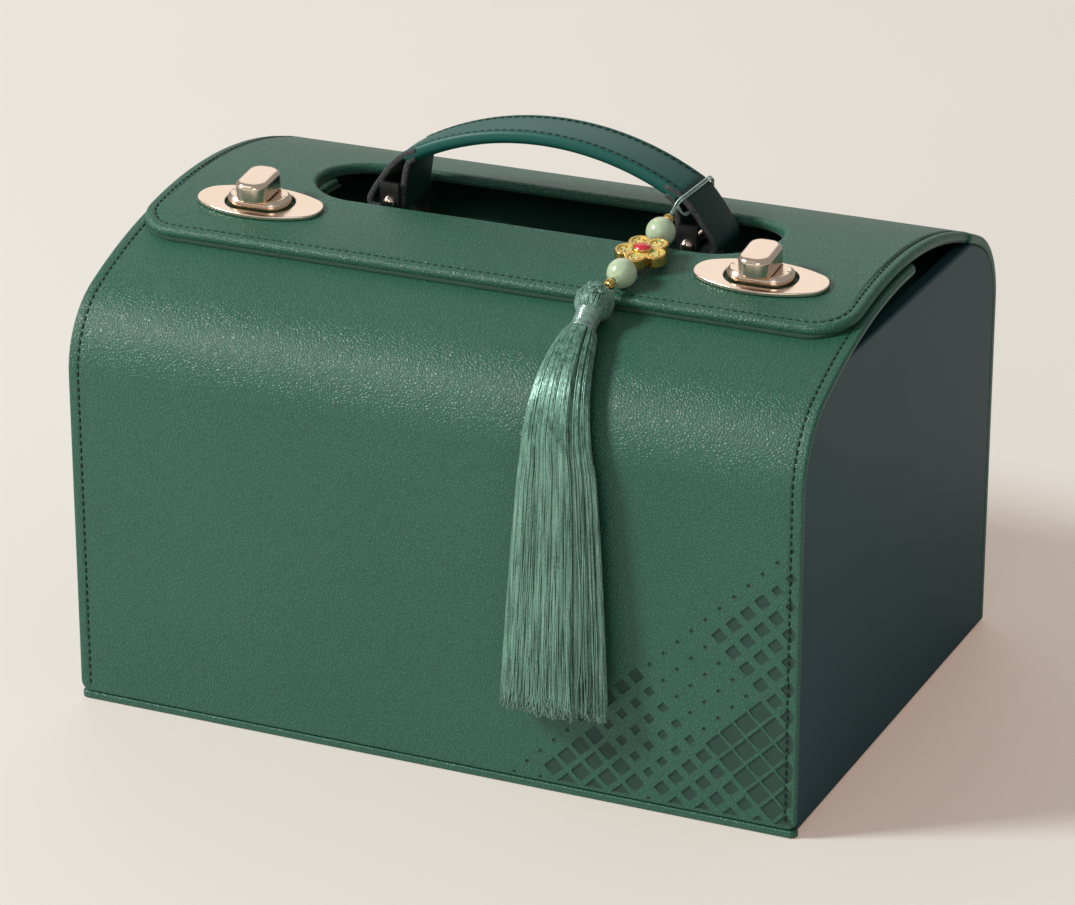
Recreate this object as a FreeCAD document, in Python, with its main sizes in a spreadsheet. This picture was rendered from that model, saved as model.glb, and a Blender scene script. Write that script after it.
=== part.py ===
import FreeCAD, Part
import math
import os

import Sketcher

# A leather covered case for a set of game tiles. A box of boards stands on a base. A domed lid is
# hinged along the back of the top, and a front leaf is hinged along the bottom of the front. Behind
# the leaf are four drawers. An arched handle stands up through a slot in the lid, and a charm with
# a tassel hangs from it. +X is right, the front faces -Y and +Z is up; the origin is in the middle
# of the underside. Millimetres.

os.makedirs("parts", exist_ok=True)
doc = FreeCAD.newDocument("TileCase")
sheet = doc.addObject("Spreadsheet::Sheet", "Sizes")

SIZES = (
    ("case_width", 300.0, "case, side to side"),
    ("case_depth", 216.0, "case, front to back"),
    ("base_thick", 3.0, "base board"),
    ("leaf_crown", 186.0, "height of the leaf's outside at the middle of the dome"),
    ("dome_leaf", 210.0, "radius of the leaf's outside over the top"),
    ("corner_round", 35.0, "outside radius from the front or back into the dome"),
    ("leaf_board", 2.7, "leather covered board of the leaf"),
    ("lining_thick", 0.8, "lining inside leaf and lid"),
    ("play", 0.2, "gap between pieces that move past each other"),
    ("lid_gap", 0.4, "gap between leaf and lid"),
    ("lid_board", 3.2, "leather covered board of the lid"),
    ("lid_set", 2.5, "lid, in from the edge of the leaf at each side"),
    ("lid_front_set", 47.0, "lid's front edge, back from the front of the case"),
    ("lid_corner", 17.0, "radius of the lid's front corners"),
    ("seam_set", 34.5, "fold that the lid turns on, in from the back of the case"),
    ("slot_front", 20.0, "from the middle to the front of the lid's slot"),
    ("slot_back", 27.0, "from the middle to the back of the lid's slot"),
    ("slot_beyond", 33.5, "end of the lid's slot, out from the handle's bars"),
    ("wing_end", 12.0, "from the middle back to the end of the leaf's wings"),
    ("notch_front", 21.0, "from the middle to the front of the leaf's notch"),
    ("notch_beyond", 30.5, "side of the leaf's notch, out from the handle's bars"),
    ("notch_round", 8.0, "corner radius of the notch"),
    ("side_set", 1.5, "side panels, in from the edge of the leaf"),
    ("side_thick", 6.0, "side panel"),
    ("panel_foot", 0.4, "lower edge of the side and back panels above the ground"),
    ("side_shoulder", 34.1, "back end of the side panels' flat top edge, in from the back"),
    ("back_thick", 4.0, "back panel"),
    ("top_room", 3.2, "between the top board's front edge and the leaf's lining"),
    ("top_thick", 4.0, "top board"),
    ("top_front_set", 30.0, "top board, back from the front of the case"),
    ("top_back_set", 24.0, "top board, in from the back of the case"),
    ("plinth_height", 16.5, "plinth rails that carry the lowest drawer"),
    ("plinth_thick", 8.0, "plinth rails, front to back"),
    ("shelf_thick", 2.5, "boards between the drawers"),
    ("drawer_play", 0.3, "gap below a drawer and at each side"),
    ("drawer_gap", 0.4, "gap above a drawer"),
    ("drawer_front_set", 23.5, "drawers' faces, back from the front of the case"),
    ("drawer_back_set", 13.0, "back of the drawers, in from the back of the case"),
    ("front_thick", 6.0, "front board of a drawer"),
    ("wall_thick", 5.0, "walls of a drawer"),
    ("floor_thick", 2.5, "floor of a drawer"),
    ("felt_thick", 1.0, "felt in a drawer"),
    ("tab_width", 30.0, "pull tab, side to side"),
    ("tab_reach", 13.0, "pull tab, out of the drawer's front"),
    ("tab_thick", 2.0, "leather of the pull tab"),
    ("tab_tall", 10.0, "pull tab, top to bottom"),
    ("lock_beyond", 41.5, "turn lock, out from the handle's bars"),
    ("lock_forward", 35.0, "from the middle forward to a turn lock"),
    ("plate_long", 53.0, "lock plate, end to end"),
    ("plate_wide", 24.0, "lock plate at its widest"),
    ("plate_thick", 1.6, "lock plate"),
    ("plate_lift", 0.05, "underside of a lock plate above the lid's crown"),
    ("boss_long", 26.0, "boss of the lock, end to end"),
    ("boss_wide", 14.0, "boss of the lock, across"),
    ("boss_tall", 5.0, "boss above the lid"),
    ("boss_gap", 1.4, "gap between boss and plate"),
    ("knob_long", 19.0, "turn knob, front to back"),
    ("knob_wide", 13.5, "turn knob, across"),
    ("knob_tall", 7.6, "turn knob above its boss"),
    ("shaft_wide", 5.0, "diameter of the knob's shaft"),
    ("cam_long", 14.0, "cam bar, front to back while the lock is open"),
    ("cam_wide", 5.0, "cam bar, across"),
    ("cam_thick", 2.0, "cam bar"),
    ("cam_deep", 10.6, "top of the cam bar below the lid's crown"),
    ("keeper_wide", 6.6, "keeper slot, across"),
    ("keeper_front", 44.5, "from the middle to the front of the keeper slot"),
    ("keeper_back", 4.5, "from the middle to the back of the keeper slot"),
    ("handle_back", 8.0, "from the middle back to the line of the handle"),
    ("grip_wide", 24.0, "grip, front to back"),
    ("grip_thick", 6.0, "grip, top to bottom"),
    ("grip_span", 114.0, "grip, end to end"),
    ("grip_above", 35.0, "top of the grip above the leaf's crown"),
    ("grip_rise", 15.0, "how far the grip arches"),
    ("strap_wide", 24.0, "handle strap, front to back"),
    ("strap_thick", 2.5, "handle strap"),
    ("bar_across", 62.5, "from the middle to a handle bar"),
    ("bar_drop", 0.5, "handle bars below the leaf's crown"),
    ("bar_wide", 4.4, "diameter of a handle bar"),
    ("post_wide", 8.0, "bracket post, across"),
    ("post_thick", 1.8, "bracket post, front to back"),
    ("bracket_plate", 1.5, "foot plate of a bracket"),
    ("foot_long", 18.0, "foot plate, across"),
    ("screw_head", 4.0, "head of a bracket screw"),
    ("cord_wide", 1.6, "cord of the charm"),
    ("jade_wide", 11.4, "large beads"),
    ("gold_wide", 4.4, "spacer beads"),
    ("bead_bore", 2.6, "hole through a bead"),
    ("flower_reach", 6.2, "from the flower's middle to the middle of a petal"),
    ("petal_wide", 8.6, "petal"),
    ("flower_thick", 4.4, "flower charm"),
    ("stone_long", 7.0, "stone of the flower, longer way"),
    ("stone_short", 5.4, "stone of the flower, shorter way"),
    ("stone_tall", 1.6, "stone above the flower"),
    ("knot_wide", 15.0, "knotted head of the tassel"),
    ("binding_wide", 10.0, "thread binding of the tassel"),
    ("skirt_top_wide", 12.0, "tassel under its binding"),
    ("skirt_mid_wide", 29.0, "tassel where it leaves the corner, side to side"),
    ("skirt_end_wide", 43.0, "tassel at its lower end, side to side"),
    ("skirt_end_deep", 13.0, "tassel at its lower end, front to back"),
    ("skirt_x", 56.4, "from the middle to the line that the tassel hangs on"),
    ("skirt_end", 38.5, "height of the tassel's lower end"),
    ("base_corner", 3.0, "corner radius of the base board"),
    ("lining_inset", 1.0, "linings, in from the edge of what they line"),
    ("leaf_corner", 4.0, "lower corners of the leaf"),
    ("wing_corner", 9.0, "outer corners of the leaf's wings"),
    ("strip_wide", 6.7, "steel strip beside a keeper slot, side to side"),
    ("strip_long", 47.0, "steel strip beside a keeper slot, front to back"),
    ("keeper_thick", 1.0, "keeper plate"),
    ("plate_tip", 8.0, "radius of the lock plate's ends"),
    ("boss_bevel", 1.4, "bevel round the top of the boss"),
    ("knob_round", 5.0, "corner radius of the knob"),
    ("knob_bevel", 1.2, "bevel round the top of the knob"),
    ("tab_corner", 4.0, "corner radius of the pull tab"),
    ("rivet_head", 4.0, "rivet head"),
    ("rivet_thick", 1.0, "rivet head, thickness"),
    ("strap_room", 1.0, "room beside the strap on its bar"),
    ("shaft_play", 0.08, "room round the knob's shaft in its boss"),
    ("screw_tall", 1.4, "height of a bracket screw's head"),
    ("grip_round", 2.4, "rolled edges of the grip"),
    ("loop_out", 11.5, "strap loop, out from its bar"),
    ("loop_in", 5.5, "strap loop, in from its bar"),
    ("loop_a_x", 58.9, "loop a of the charm, x"),
    ("loop_a_y", -6.8, "loop a of the charm, y"),
    ("loop_a_z", 200.6, "loop a of the charm, z"),
    ("loop_b_x", 60.8, "loop b of the charm, x"),
    ("loop_b_y", -6.0, "loop b of the charm, y"),
    ("loop_b_z", 197.0, "loop b of the charm, z"),
    ("loop_c_x", 60.8, "loop c of the charm, x"),
    ("loop_c_y", 22.3, "loop c of the charm, y"),
    ("loop_c_z", 197.0, "loop c of the charm, z"),
    ("loop_d_x", 61.2, "loop d of the charm, x"),
    ("loop_d_y", 22.3, "loop d of the charm, y"),
    ("loop_d_z", 204.8, "loop d of the charm, z"),
    ("loop_e_x", 61.1, "loop e of the charm, x"),
    ("loop_e_y", -5.7, "loop e of the charm, y"),
    ("loop_e_z", 204.7, "loop e of the charm, z"),
    ("loop_f_x", 59.4, "loop f of the charm, x"),
    ("loop_f_y", -7.2, "loop f of the charm, y"),
    ("loop_f_z", 203.3, "loop f of the charm, z"),
    ("thread_a_x", 57.9, "thread a of the charm, x"),
    ("thread_a_y", -9.0, "thread a of the charm, y"),
    ("thread_a_z", 199.8, "thread a of the charm, z"),
    ("bead_a_x", 58.0, "bead a of the charm, x"),
    ("bead_a_y", -21.4, "bead a of the charm, y"),
    ("bead_a_z", 195.2, "bead a of the charm, z"),
    ("flower_x", 57.8, "flower of the charm, x"),
    ("flower_y", -38.2, "flower of the charm, y"),
    ("flower_z", 192.2, "flower of the charm, z"),
    ("bead_b_x", 56.4, "bead b of the charm, x"),
    ("bead_b_y", -54.5, "bead b of the charm, y"),
    ("bead_b_z", 189.4, "bead b of the charm, z"),
    ("thread_b_x", 54.8, "thread b of the charm, x"),
    ("thread_b_y", -61.3, "thread b of the charm, y"),
    ("thread_b_z", 187.4, "thread b of the charm, z"),
    ("knot_x", 52.2, "knot of the charm, x"),
    ("knot_y", -70.2, "knot of the charm, y"),
    ("knot_z", 182.4, "knot of the charm, z"),
    ("binding_x", 52.3, "binding of the charm, x"),
    ("binding_y", -74.6, "binding of the charm, y"),
    ("binding_z", 180.0, "binding of the charm, z"),
    ("skirt_top_x", 52.6, "skirt top of the charm, x"),
    ("skirt_top_y", -83.0, "skirt top of the charm, y"),
    ("skirt_top_z", 175.4, "skirt top of the charm, z"),
)

for row, (alias, number, note) in enumerate(SIZES, 1):
    sheet.set(f"A{row}", note)
    sheet.set(f"B{row}", str(number))
    sheet.setAlias(f"B{row}", alias)
doc.recompute()

# Places that are measured from the case's own sides, so that they keep their distance to them.

DOME_CENTRE = "(Sizes.leaf_crown - Sizes.dome_leaf)"
GRIP_TOP = "(Sizes.leaf_crown + Sizes.grip_above)"
BAR_HEIGHT = "(Sizes.leaf_crown - Sizes.bar_drop)"
LID_WIDTH = "(Sizes.case_width - 2 * Sizes.lid_set)"
LOCK_ACROSS = "(Sizes.bar_across + Sizes.lock_beyond)"
NOTCH_SIDE = "(Sizes.bar_across + Sizes.notch_beyond)"
SLOT_LENGTH = "(2 * (Sizes.bar_across + Sizes.slot_beyond))"
LID_FRONT = "(Sizes.case_depth / 2 - Sizes.lid_front_set)"
SEAM = "(Sizes.case_depth / 2 - Sizes.seam_set)"
TOP_FRONT = "(Sizes.case_depth / 2 - Sizes.top_front_set)"
TOP_BACK = "(Sizes.case_depth / 2 - Sizes.top_back_set)"
DRAWER_FRONT = "(Sizes.case_depth / 2 - Sizes.drawer_front_set)"
DRAWER_BACK = "(Sizes.case_depth / 2 - Sizes.drawer_back_set)"
LID_INSIDE = "(Sizes.dome_leaf + Sizes.lid_gap)"
LID_MIDDLE = "(Sizes.dome_leaf + Sizes.lid_gap + Sizes.lining_thick)"
LID_OUTSIDE = "(Sizes.dome_leaf + Sizes.lid_gap + Sizes.lining_thick + Sizes.lid_board)"
LEAF_INSET = "(Sizes.leaf_board + Sizes.lining_thick)"
SHOULDER = "(Sizes.case_depth / 2 - Sizes.side_shoulder)"
SIDE_TOP = f"({DOME_CENTRE} + sqrt(({LID_OUTSIDE} - Sizes.back_thick)^2 - {SHOULDER}^2))"
SIDE_OUT = "(Sizes.case_width / 2 - Sizes.side_set)"
SIDE_IN = "(Sizes.case_width / 2 - Sizes.side_set - Sizes.side_thick)"
LINING_OVER_TOP = f"sqrt((Sizes.dome_leaf - {LEAF_INSET})^2 - {TOP_FRONT}^2)"
TOP_HEIGHT = f"({DOME_CENTRE} + {LINING_OVER_TOP} - Sizes.top_thick - Sizes.top_room)"

nodes = []


def value(expression):
    """The number that an expression on the sheet comes to."""
    return float(sheet.evalExpression(expression.replace("Sizes.", "")))


def bind(item, **expressions):
    """Ties properties to the sheet; a double underscore stands for a dot."""
    for name, expression in expressions.items():
        item.setExpression(name.replace("__", "."), expression)
    return item


def keep(item, label):
    """Names a finished sub-part, which is written to its own file."""
    item.Label = label
    nodes.append(item)
    return item


def group(label, members):
    """Several like pieces that are named and written as one sub-part."""
    whole = doc.addObject("Part::Compound", label)
    whole.Links = members
    return keep(whole, label)


def new_body(label, final=True):
    body = doc.addObject("PartDesign::Body", label)
    return keep(body, label) if final else body


def new_sketch(body, plane, name):
    sketch = body.newObject("Sketcher::SketchObject", name)
    support = next(item for item in body.Origin.OriginFeatures if item.Role == plane)
    sketch.AttachmentSupport = [(support, "")]
    sketch.MapMode = "FlatFace"
    return sketch


def dimension(sketch, kind, places, expression):
    """Adds a dimension that follows an expression."""
    index = sketch.addConstraint(Sketcher.Constraint(kind, *places, value(expression)))
    sketch.setExpression(f"Constraints[{index}]", expression)


def polygon(sketch, corners):
    """A closed outline through corners that are pairs of expressions."""
    points = [FreeCAD.Vector(value(x), value(y), 0) for x, y in corners]
    count = len(points)
    first = sketch.GeometryCount
    for number, point in enumerate(points):
        sketch.addGeometry(Part.LineSegment(point, points[(number + 1) % count]))
    for number, (x, y) in enumerate(corners):
        here = first + number
        after = first + (number + 1) % count
        sketch.addConstraint(Sketcher.Constraint("Coincident", here, 2, after, 1))
        dimension(sketch, "DistanceX", (-1, 1, here, 1), x)
        dimension(sketch, "DistanceY", (-1, 1, here, 1), y)


def circle(sketch, x, y, radius):
    place = FreeCAD.Vector(value(x), value(y), 0)
    index = sketch.addGeometry(Part.Circle(place, FreeCAD.Vector(0, 0, 1), value(radius)))
    for kind, expression in (("DistanceX", x), ("DistanceY", y)):
        if value(expression):
            dimension(sketch, kind, (-1, 1, index, 3), expression)
        else:
            sketch.addConstraint(Sketcher.Constraint(kind, -1, 1, index, 3, 0.0))
    dimension(sketch, "Radius", (index,), radius)


def pad(body, sketch, length, name, middle=False, down=False):
    feature = body.newObject("PartDesign::Pad", name)
    feature.Profile = sketch
    feature.setExpression("Length", length)
    feature.SideType = "Symmetric" if middle else "One side"
    feature.Reversed = down
    return feature


def pocket(body, sketch, name):
    """Cuts straight through, both ways from the sketch."""
    feature = body.newObject("PartDesign::Pocket", name)
    feature.Profile = sketch
    feature.Type = 1
    feature.SideType = "Symmetric"
    return feature


def block(label, size, corner, final=True):
    """A box from its size and its low corner, all of them expressions."""
    item = doc.addObject("Part::Box", label)
    bind(item, Length=size[0], Width=size[1], Height=size[2])
    bind(item, Placement__Base__x=corner[0], Placement__Base__y=corner[1])
    bind(item, Placement__Base__z=corner[2])
    if final:
        keep(item, label)
    return item


# The side view of the dome. Seen from the right: up the front, round the corner, over the top.

def dome_line(sketch, depth, low, corner, dome, end, end_kind, back=False):
    """Straight edge, corner arc and dome arc, each running smoothly into the next.

    The straight edge starts at the height low; end says where the dome arc stops.
    """
    side = 1 if back else -1
    deep = value(depth)
    small, large, centre = value(corner), value(dome), value(DOME_CENTRE)
    turn_y = deep - small
    turn_z = centre + math.sqrt((large - small) ** 2 - turn_y ** 2)
    meet = math.atan2(turn_z - centre, turn_y)
    stop = value(end)
    last = math.acos(abs(stop) / large) if end_kind == "DistanceX" else math.asin((stop - centre) / large)
    if end_kind == "DistanceX" and (stop < 0) == back:
        last = math.pi - last
    start = FreeCAD.Vector(side * deep, value(low), 0)
    corner_at = FreeCAD.Vector(side * deep, turn_z, 0)
    line = sketch.addGeometry(Part.LineSegment(start, corner_at))
    z_axis = FreeCAD.Vector(0, 0, 1)
    small_circle = Part.Circle(FreeCAD.Vector(side * turn_y, turn_z, 0), z_axis, small)
    large_circle = Part.Circle(FreeCAD.Vector(0, centre, 0), z_axis, large)
    if back:
        bend = sketch.addGeometry(Part.ArcOfCircle(small_circle, 0, meet))
        top = sketch.addGeometry(Part.ArcOfCircle(large_circle, meet, last))
        bend_ends, top_ends = (1, 2), (1, 2)
    else:
        bend = sketch.addGeometry(Part.ArcOfCircle(small_circle, math.pi - meet, math.pi))
        top = sketch.addGeometry(Part.ArcOfCircle(large_circle, math.pi - last, math.pi - meet))
        bend_ends, top_ends = (2, 1), (2, 1)
    signed = f"{side} * ({depth})"
    dimension(sketch, "DistanceX", (-1, 1, line, 1), signed)
    dimension(sketch, "DistanceY", (-1, 1, line, 1), low)
    sketch.addConstraint(Sketcher.Constraint("Vertical", line))
    sketch.addConstraint(Sketcher.Constraint("Tangent", line, 2, bend, bend_ends[0]))
    dimension(sketch, "Radius", (bend,), corner)
    sketch.addConstraint(Sketcher.Constraint("Tangent", bend, bend_ends[1], top, top_ends[0]))
    sketch.addConstraint(Sketcher.Constraint("PointOnObject", top, 3, -2))
    dimension(sketch, "DistanceY", (-1, 1, top, 3), DOME_CENTRE)
    dimension(sketch, "Radius", (top,), dome)
    dimension(sketch, end_kind, (-1, 1, top, top_ends[1]), end)
    return (line, 1), (top, top_ends[1])


def join(sketch, one, other):
    """A straight line between two ends."""
    points = [sketch.getPoint(*end) for end in (one, other)]
    line = sketch.addGeometry(Part.LineSegment(*points))
    sketch.addConstraint(Sketcher.Constraint("Coincident", one[0], one[1], line, 1))
    sketch.addConstraint(Sketcher.Constraint("Coincident", other[0], other[1], line, 2))


def board(body, sketch, width):
    pad(body, sketch, width, f"{body.Label}_board", middle=True)
    doc.recompute()
    return body


def shell(label, width, outside, inside, low, end, back=False):
    """A bent board: two dome lines, one inside the other, joined at both ends."""
    body = new_body(label, final=False)
    sketch = new_sketch(body, "YZ_Plane", f"{label}_side_view")
    outer = dome_line(sketch, outside[0], low, outside[1], outside[2], end, "DistanceX", back)
    inner = dome_line(sketch, inside[0], low, inside[1], inside[2], end, "DistanceX", back)
    join(sketch, outer[0], inner[0])
    join(sketch, outer[1], inner[1])
    return board(body, sketch, width)


def curve(dome, inset):
    """Depth, corner radius and dome radius of a dome line that lies inset from the outside."""
    return (
        f"Sizes.case_depth / 2 - ({inset})",
        f"Sizes.corner_round - ({inset})",
        f"{dome} - ({inset})",
    )


def arc_about(sketch, centre_height, radius, low_x, high_x):
    """An arc about a point on the upright axis, over the top from low_x to high_x."""
    large = value(radius)
    ends = [math.acos(value(x) / large) for x in (high_x, low_x)]
    middle = FreeCAD.Vector(0, value(centre_height), 0)
    round_line = Part.Circle(middle, FreeCAD.Vector(0, 0, 1), large)
    arc = sketch.addGeometry(Part.ArcOfCircle(round_line, *ends))
    sketch.addConstraint(Sketcher.Constraint("PointOnObject", arc, 3, -2))
    dimension(sketch, "DistanceY", (-1, 1, arc, 3), centre_height)
    dimension(sketch, "Radius", (arc,), radius)
    dimension(sketch, "DistanceX", (-1, 1, arc, 1), high_x)
    dimension(sketch, "DistanceX", (-1, 1, arc, 2), low_x)
    return arc


def arc_board(body, plane, centre_height, outer, inner, width):
    """A curved board between two arcs about one centre; each arc is (radius, low, high)."""
    sketch = new_sketch(body, plane, f"{body.Label}_side_view")
    arcs = [arc_about(sketch, centre_height, *part) for part in (outer, inner)]
    for end in (1, 2):
        join(sketch, (arcs[0], end), (arcs[1], end))
    return board(body, sketch, width)


def stadium(sketch, x, y, length, width, upright=False):
    """A slot with round ends; its middle, length and width are expressions."""
    reach = f"(({length}) - ({width})) / 2"
    ends = [(f"{x}", f"{y} {sign} {reach}") if upright else (f"{x} {sign} {reach}", f"{y}") for sign in "-+"]
    turn = math.pi if upright else math.pi / 2
    radius = value(width) / 2
    arcs = []
    for number, (end_x, end_y) in enumerate(ends):
        place = FreeCAD.Vector(value(end_x), value(end_y), 0)
        start = turn + number * math.pi
        ring = Part.Circle(place, FreeCAD.Vector(0, 0, 1), radius)
        arcs.append(sketch.addGeometry(Part.ArcOfCircle(ring, start, start + math.pi)))
    for one, other in (arcs, arcs[::-1]):
        points = [sketch.getPoint(one, 2), sketch.getPoint(other, 1)]
        line = sketch.addGeometry(Part.LineSegment(*points))
        sketch.addConstraint(Sketcher.Constraint("Tangent", one, 2, line, 1))
        sketch.addConstraint(Sketcher.Constraint("Tangent", line, 2, other, 1))
    for arc, (end_x, end_y) in zip(arcs, ends):
        dimension(sketch, "DistanceX", (-1, 1, arc, 3), end_x)
        dimension(sketch, "DistanceY", (-1, 1, arc, 3), end_y)
    dimension(sketch, "Radius", (arcs[0],), f"({width}) / 2")
    sketch.addConstraint(Sketcher.Constraint("Equal", arcs[0], arcs[1]))


def corner_cut(sketch, side, end, x, y, radius):
    """What a pocket takes away to round a plan's corner; side and end are +1 or -1."""
    mid_x, mid_y = f"{side} * ({x} - {radius})", f"{end} * ({y} - {radius})"
    out_x, out_y = f"{side} * ({x} + {radius})", f"{end} * ({y} + {radius})"
    centre = FreeCAD.Vector(value(mid_x), value(mid_y), 0)
    reach = value(radius)
    quarter = math.atan2(end, side) - math.pi / 4
    ring = Part.Circle(centre, FreeCAD.Vector(0, 0, 1), reach)
    arc = sketch.addGeometry(Part.ArcOfCircle(ring, quarter, quarter + math.pi / 2))
    across, along = (1, 2) if side == end else (2, 1)
    dimension(sketch, "DistanceX", (-1, 1, arc, 3), mid_x)
    dimension(sketch, "DistanceY", (-1, 1, arc, 3), mid_y)
    dimension(sketch, "Radius", (arc,), radius)
    sketch.addConstraint(Sketcher.Constraint("Horizontal", arc, 3, arc, across))
    sketch.addConstraint(Sketcher.Constraint("Vertical", arc, 3, arc, along))
    corners = [(mid_x, out_y), (out_x, out_y), (out_x, mid_y)]
    points = [FreeCAD.Vector(value(a), value(b), 0) for a, b in corners]
    stops = [sketch.getPoint(arc, along), *points, sketch.getPoint(arc, across)]
    lines = [sketch.addGeometry(Part.LineSegment(*pair)) for pair in zip(stops, stops[1:])]
    sketch.addConstraint(Sketcher.Constraint("Coincident", arc, along, lines[0], 1))
    for line, after, (a, b) in zip(lines, lines[1:], corners):
        sketch.addConstraint(Sketcher.Constraint("Coincident", line, 2, after, 1))
        dimension(sketch, "DistanceX", (-1, 1, after, 1), a)
        dimension(sketch, "DistanceY", (-1, 1, after, 1), b)
    sketch.addConstraint(Sketcher.Constraint("Coincident", lines[-1], 2, arc, across))


def edges_through(body, test, thick):
    """Names of the edges that cross a board's thickness and whose two ends both pass a test."""
    doc.recompute()
    longest = value(thick) * 1.3 + 0.1
    edges = enumerate(body.Shape.Edges, 1)
    short = [(number, edge) for number, edge in edges if edge.Length < longest and edge.BoundBox.XLength < 0.05]
    return [f"Edge{number}" for number, edge in short if all(test(v.Point) for v in edge.Vertexes)]


def round_edges(body, test, radius, name, thick):
    names = edges_through(body, test, thick)
    base = body.Tip
    feature = body.newObject("PartDesign::Fillet", name)
    feature.Base = (base, names)
    feature.setExpression("Radius", radius)
    doc.recompute()


def near(number, expression, slack=0.05):
    return abs(number - value(expression)) < slack


def tilted(item, x, forward, crown, radius):
    """Stands a sub-part square to the dome, on the line through the crown at forward.

    The crown is the radius on which forward is measured; radius says how far out the piece stands.
    """
    tilt = f"({forward}) / ({crown})"
    item.Placement = FreeCAD.Placement(FreeCAD.Vector(), FreeCAD.Rotation(FreeCAD.Vector(1, 0, 0), 1))
    bind(item, Placement__Base__x=x, Placement__Base__y=f"-({radius}) * {tilt}")
    bind(item, Placement__Base__z=f"{DOME_CENTRE} + ({radius}) * cos(asin({tilt}))")
    bind(item, Placement__Rotation__Angle=f"asin({tilt})")
    return item


LEFT_AND_RIGHT = (("left", "-"), ("right", "+"))


# Base: one board between the side panels, with a wide front edge that the leaf is hinged to, and
# the plinth rails that lift the lowest drawer.

def base_board():
    body = new_body("base_board")
    sketch = new_sketch(body, "XY_Plane", "base_outline")
    x, y = "Sizes.case_width / 2", "Sizes.case_depth / 2"
    inner_x, inner_y = f"({SIDE_IN} - Sizes.play)", f"(Sizes.case_depth / 2 - {LEAF_INSET})"
    rear = "(Sizes.case_depth / 2 - Sizes.back_thick - Sizes.play)"
    right = [(x, f"-{y}"), (x, f"-{inner_y}"), (inner_x, f"-{inner_y}"), (inner_x, rear)]
    polygon(sketch, right + [(f"-{a}", b) for a, b in right[::-1]])
    pad(body, sketch, "Sizes.base_thick", "base_plate")
    round_edges(
        body,
        lambda p: near(abs(p.x), x) and near(p.y, f"-{y}"),
        "Sizes.base_corner",
        "base_corners",
        "Sizes.base_thick",
    )


def plinth_rails():
    rails = []
    for name, y in (("front", f"-{DRAWER_FRONT}"), ("back", f"{DRAWER_BACK} - Sizes.plinth_thick")):
        size = (f"2 * {SIDE_IN}", "Sizes.plinth_thick", "Sizes.plinth_height")
        rails.append(block(f"plinth_{name}", size, (f"-{SIDE_IN}", y, "Sizes.base_thick"), final=False))
    group("plinth_rails", rails)


# Carcass: side panels with a flat top edge under the dome, the back panel that rounds over to the
# fold, the top board that carries the handle, and a board under each of the upper drawers.

def side_panel(name, sign):
    body = new_body(f"side_panel_{name}")
    sketch = new_sketch(body, "YZ_Plane", f"side_{name}_outline")
    front = curve("Sizes.dome_leaf", f"{LEAF_INSET} + Sizes.play")
    rear = curve(LID_OUTSIDE, "Sizes.back_thick")
    low, high = "Sizes.panel_foot", SIDE_TOP
    one = dome_line(sketch, front[0], low, front[1], front[2], high, "DistanceY")
    two = dome_line(sketch, rear[0], low, rear[1], rear[2], high, "DistanceY", back=True)
    join(sketch, one[0], two[0])
    join(sketch, one[1], two[1])
    pad(body, sketch, "Sizes.side_thick", f"side_{name}_board", middle=True)
    bind(body, Placement__Base__x=f"{sign}({SIDE_OUT} - Sizes.side_thick / 2)")


def back_panel():
    outside = curve(LID_OUTSIDE, "0")
    inside = curve(LID_OUTSIDE, "Sizes.back_thick")
    back = shell("back_panel", f"2 * {SIDE_OUT}", outside, inside, "Sizes.panel_foot", SEAM, back=True)
    keep(back, "back_panel")


def flat_board(name, front, rear, height, thick, final=True):
    size = (f"2 * {SIDE_IN}", f"{front} + {rear}", thick)
    return block(name, size, (f"-{SIDE_IN}", f"-{front}", height), final)


PITCH = f"(({TOP_HEIGHT} - Sizes.base_thick - Sizes.plinth_height + Sizes.shelf_thick) / 4)"


def shelves():
    boards = []
    for number in (1, 2, 3):
        height = f"Sizes.base_thick + Sizes.plinth_height + {number} * {PITCH} - Sizes.shelf_thick"
        limits = (TOP_FRONT, DRAWER_BACK, height, "Sizes.shelf_thick")
        boards.append(flat_board(f"shelf_{number}", *limits, final=False))
    group("shelves", boards)


# Lid: a curved board in leather with a lining, a long slot for the handle, round front corners and
# a small hole under each turn lock for its shaft.

def lid_layer(label, outer, inner, width):
    body = new_body(label)
    ends = (f"-{LID_FRONT}", f"{SEAM} - Sizes.play")
    arc_board(body, "YZ_Plane", DOME_CENTRE, (outer, *ends), (inner, *ends), width)
    sketch = new_sketch(body, "XY_Plane", f"{label}_slot")
    middle = "(Sizes.slot_back - Sizes.slot_front) / 2"
    stadium(sketch, "0", middle, SLOT_LENGTH, "Sizes.slot_back + Sizes.slot_front")
    for sign in "-+":
        circle(sketch, f"{sign}{LOCK_ACROSS}", "-Sizes.lock_forward", "Sizes.shaft_wide / 2 + 1.2")
    for side in (-1, 1):
        corner_cut(sketch, side, -1, f"({width}) / 2", LID_FRONT, "Sizes.lid_corner")
    pocket(body, sketch, f"{label}_openings")


def lid():
    lid_layer("lid_board", LID_OUTSIDE, LID_MIDDLE, LID_WIDTH)
    lid_layer("lid_lining", LID_MIDDLE, LID_INSIDE, f"{LID_WIDTH} - 2 * Sizes.lining_inset")


# Leaf: the front board runs up, round the corner and back under the lid as two wings, one on each
# side of the handle. Behind the corner the board is laid in strips, side by side, which leave the two
# long keeper slots between them. Under each slot's sides lie steel keeper strips.

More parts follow.
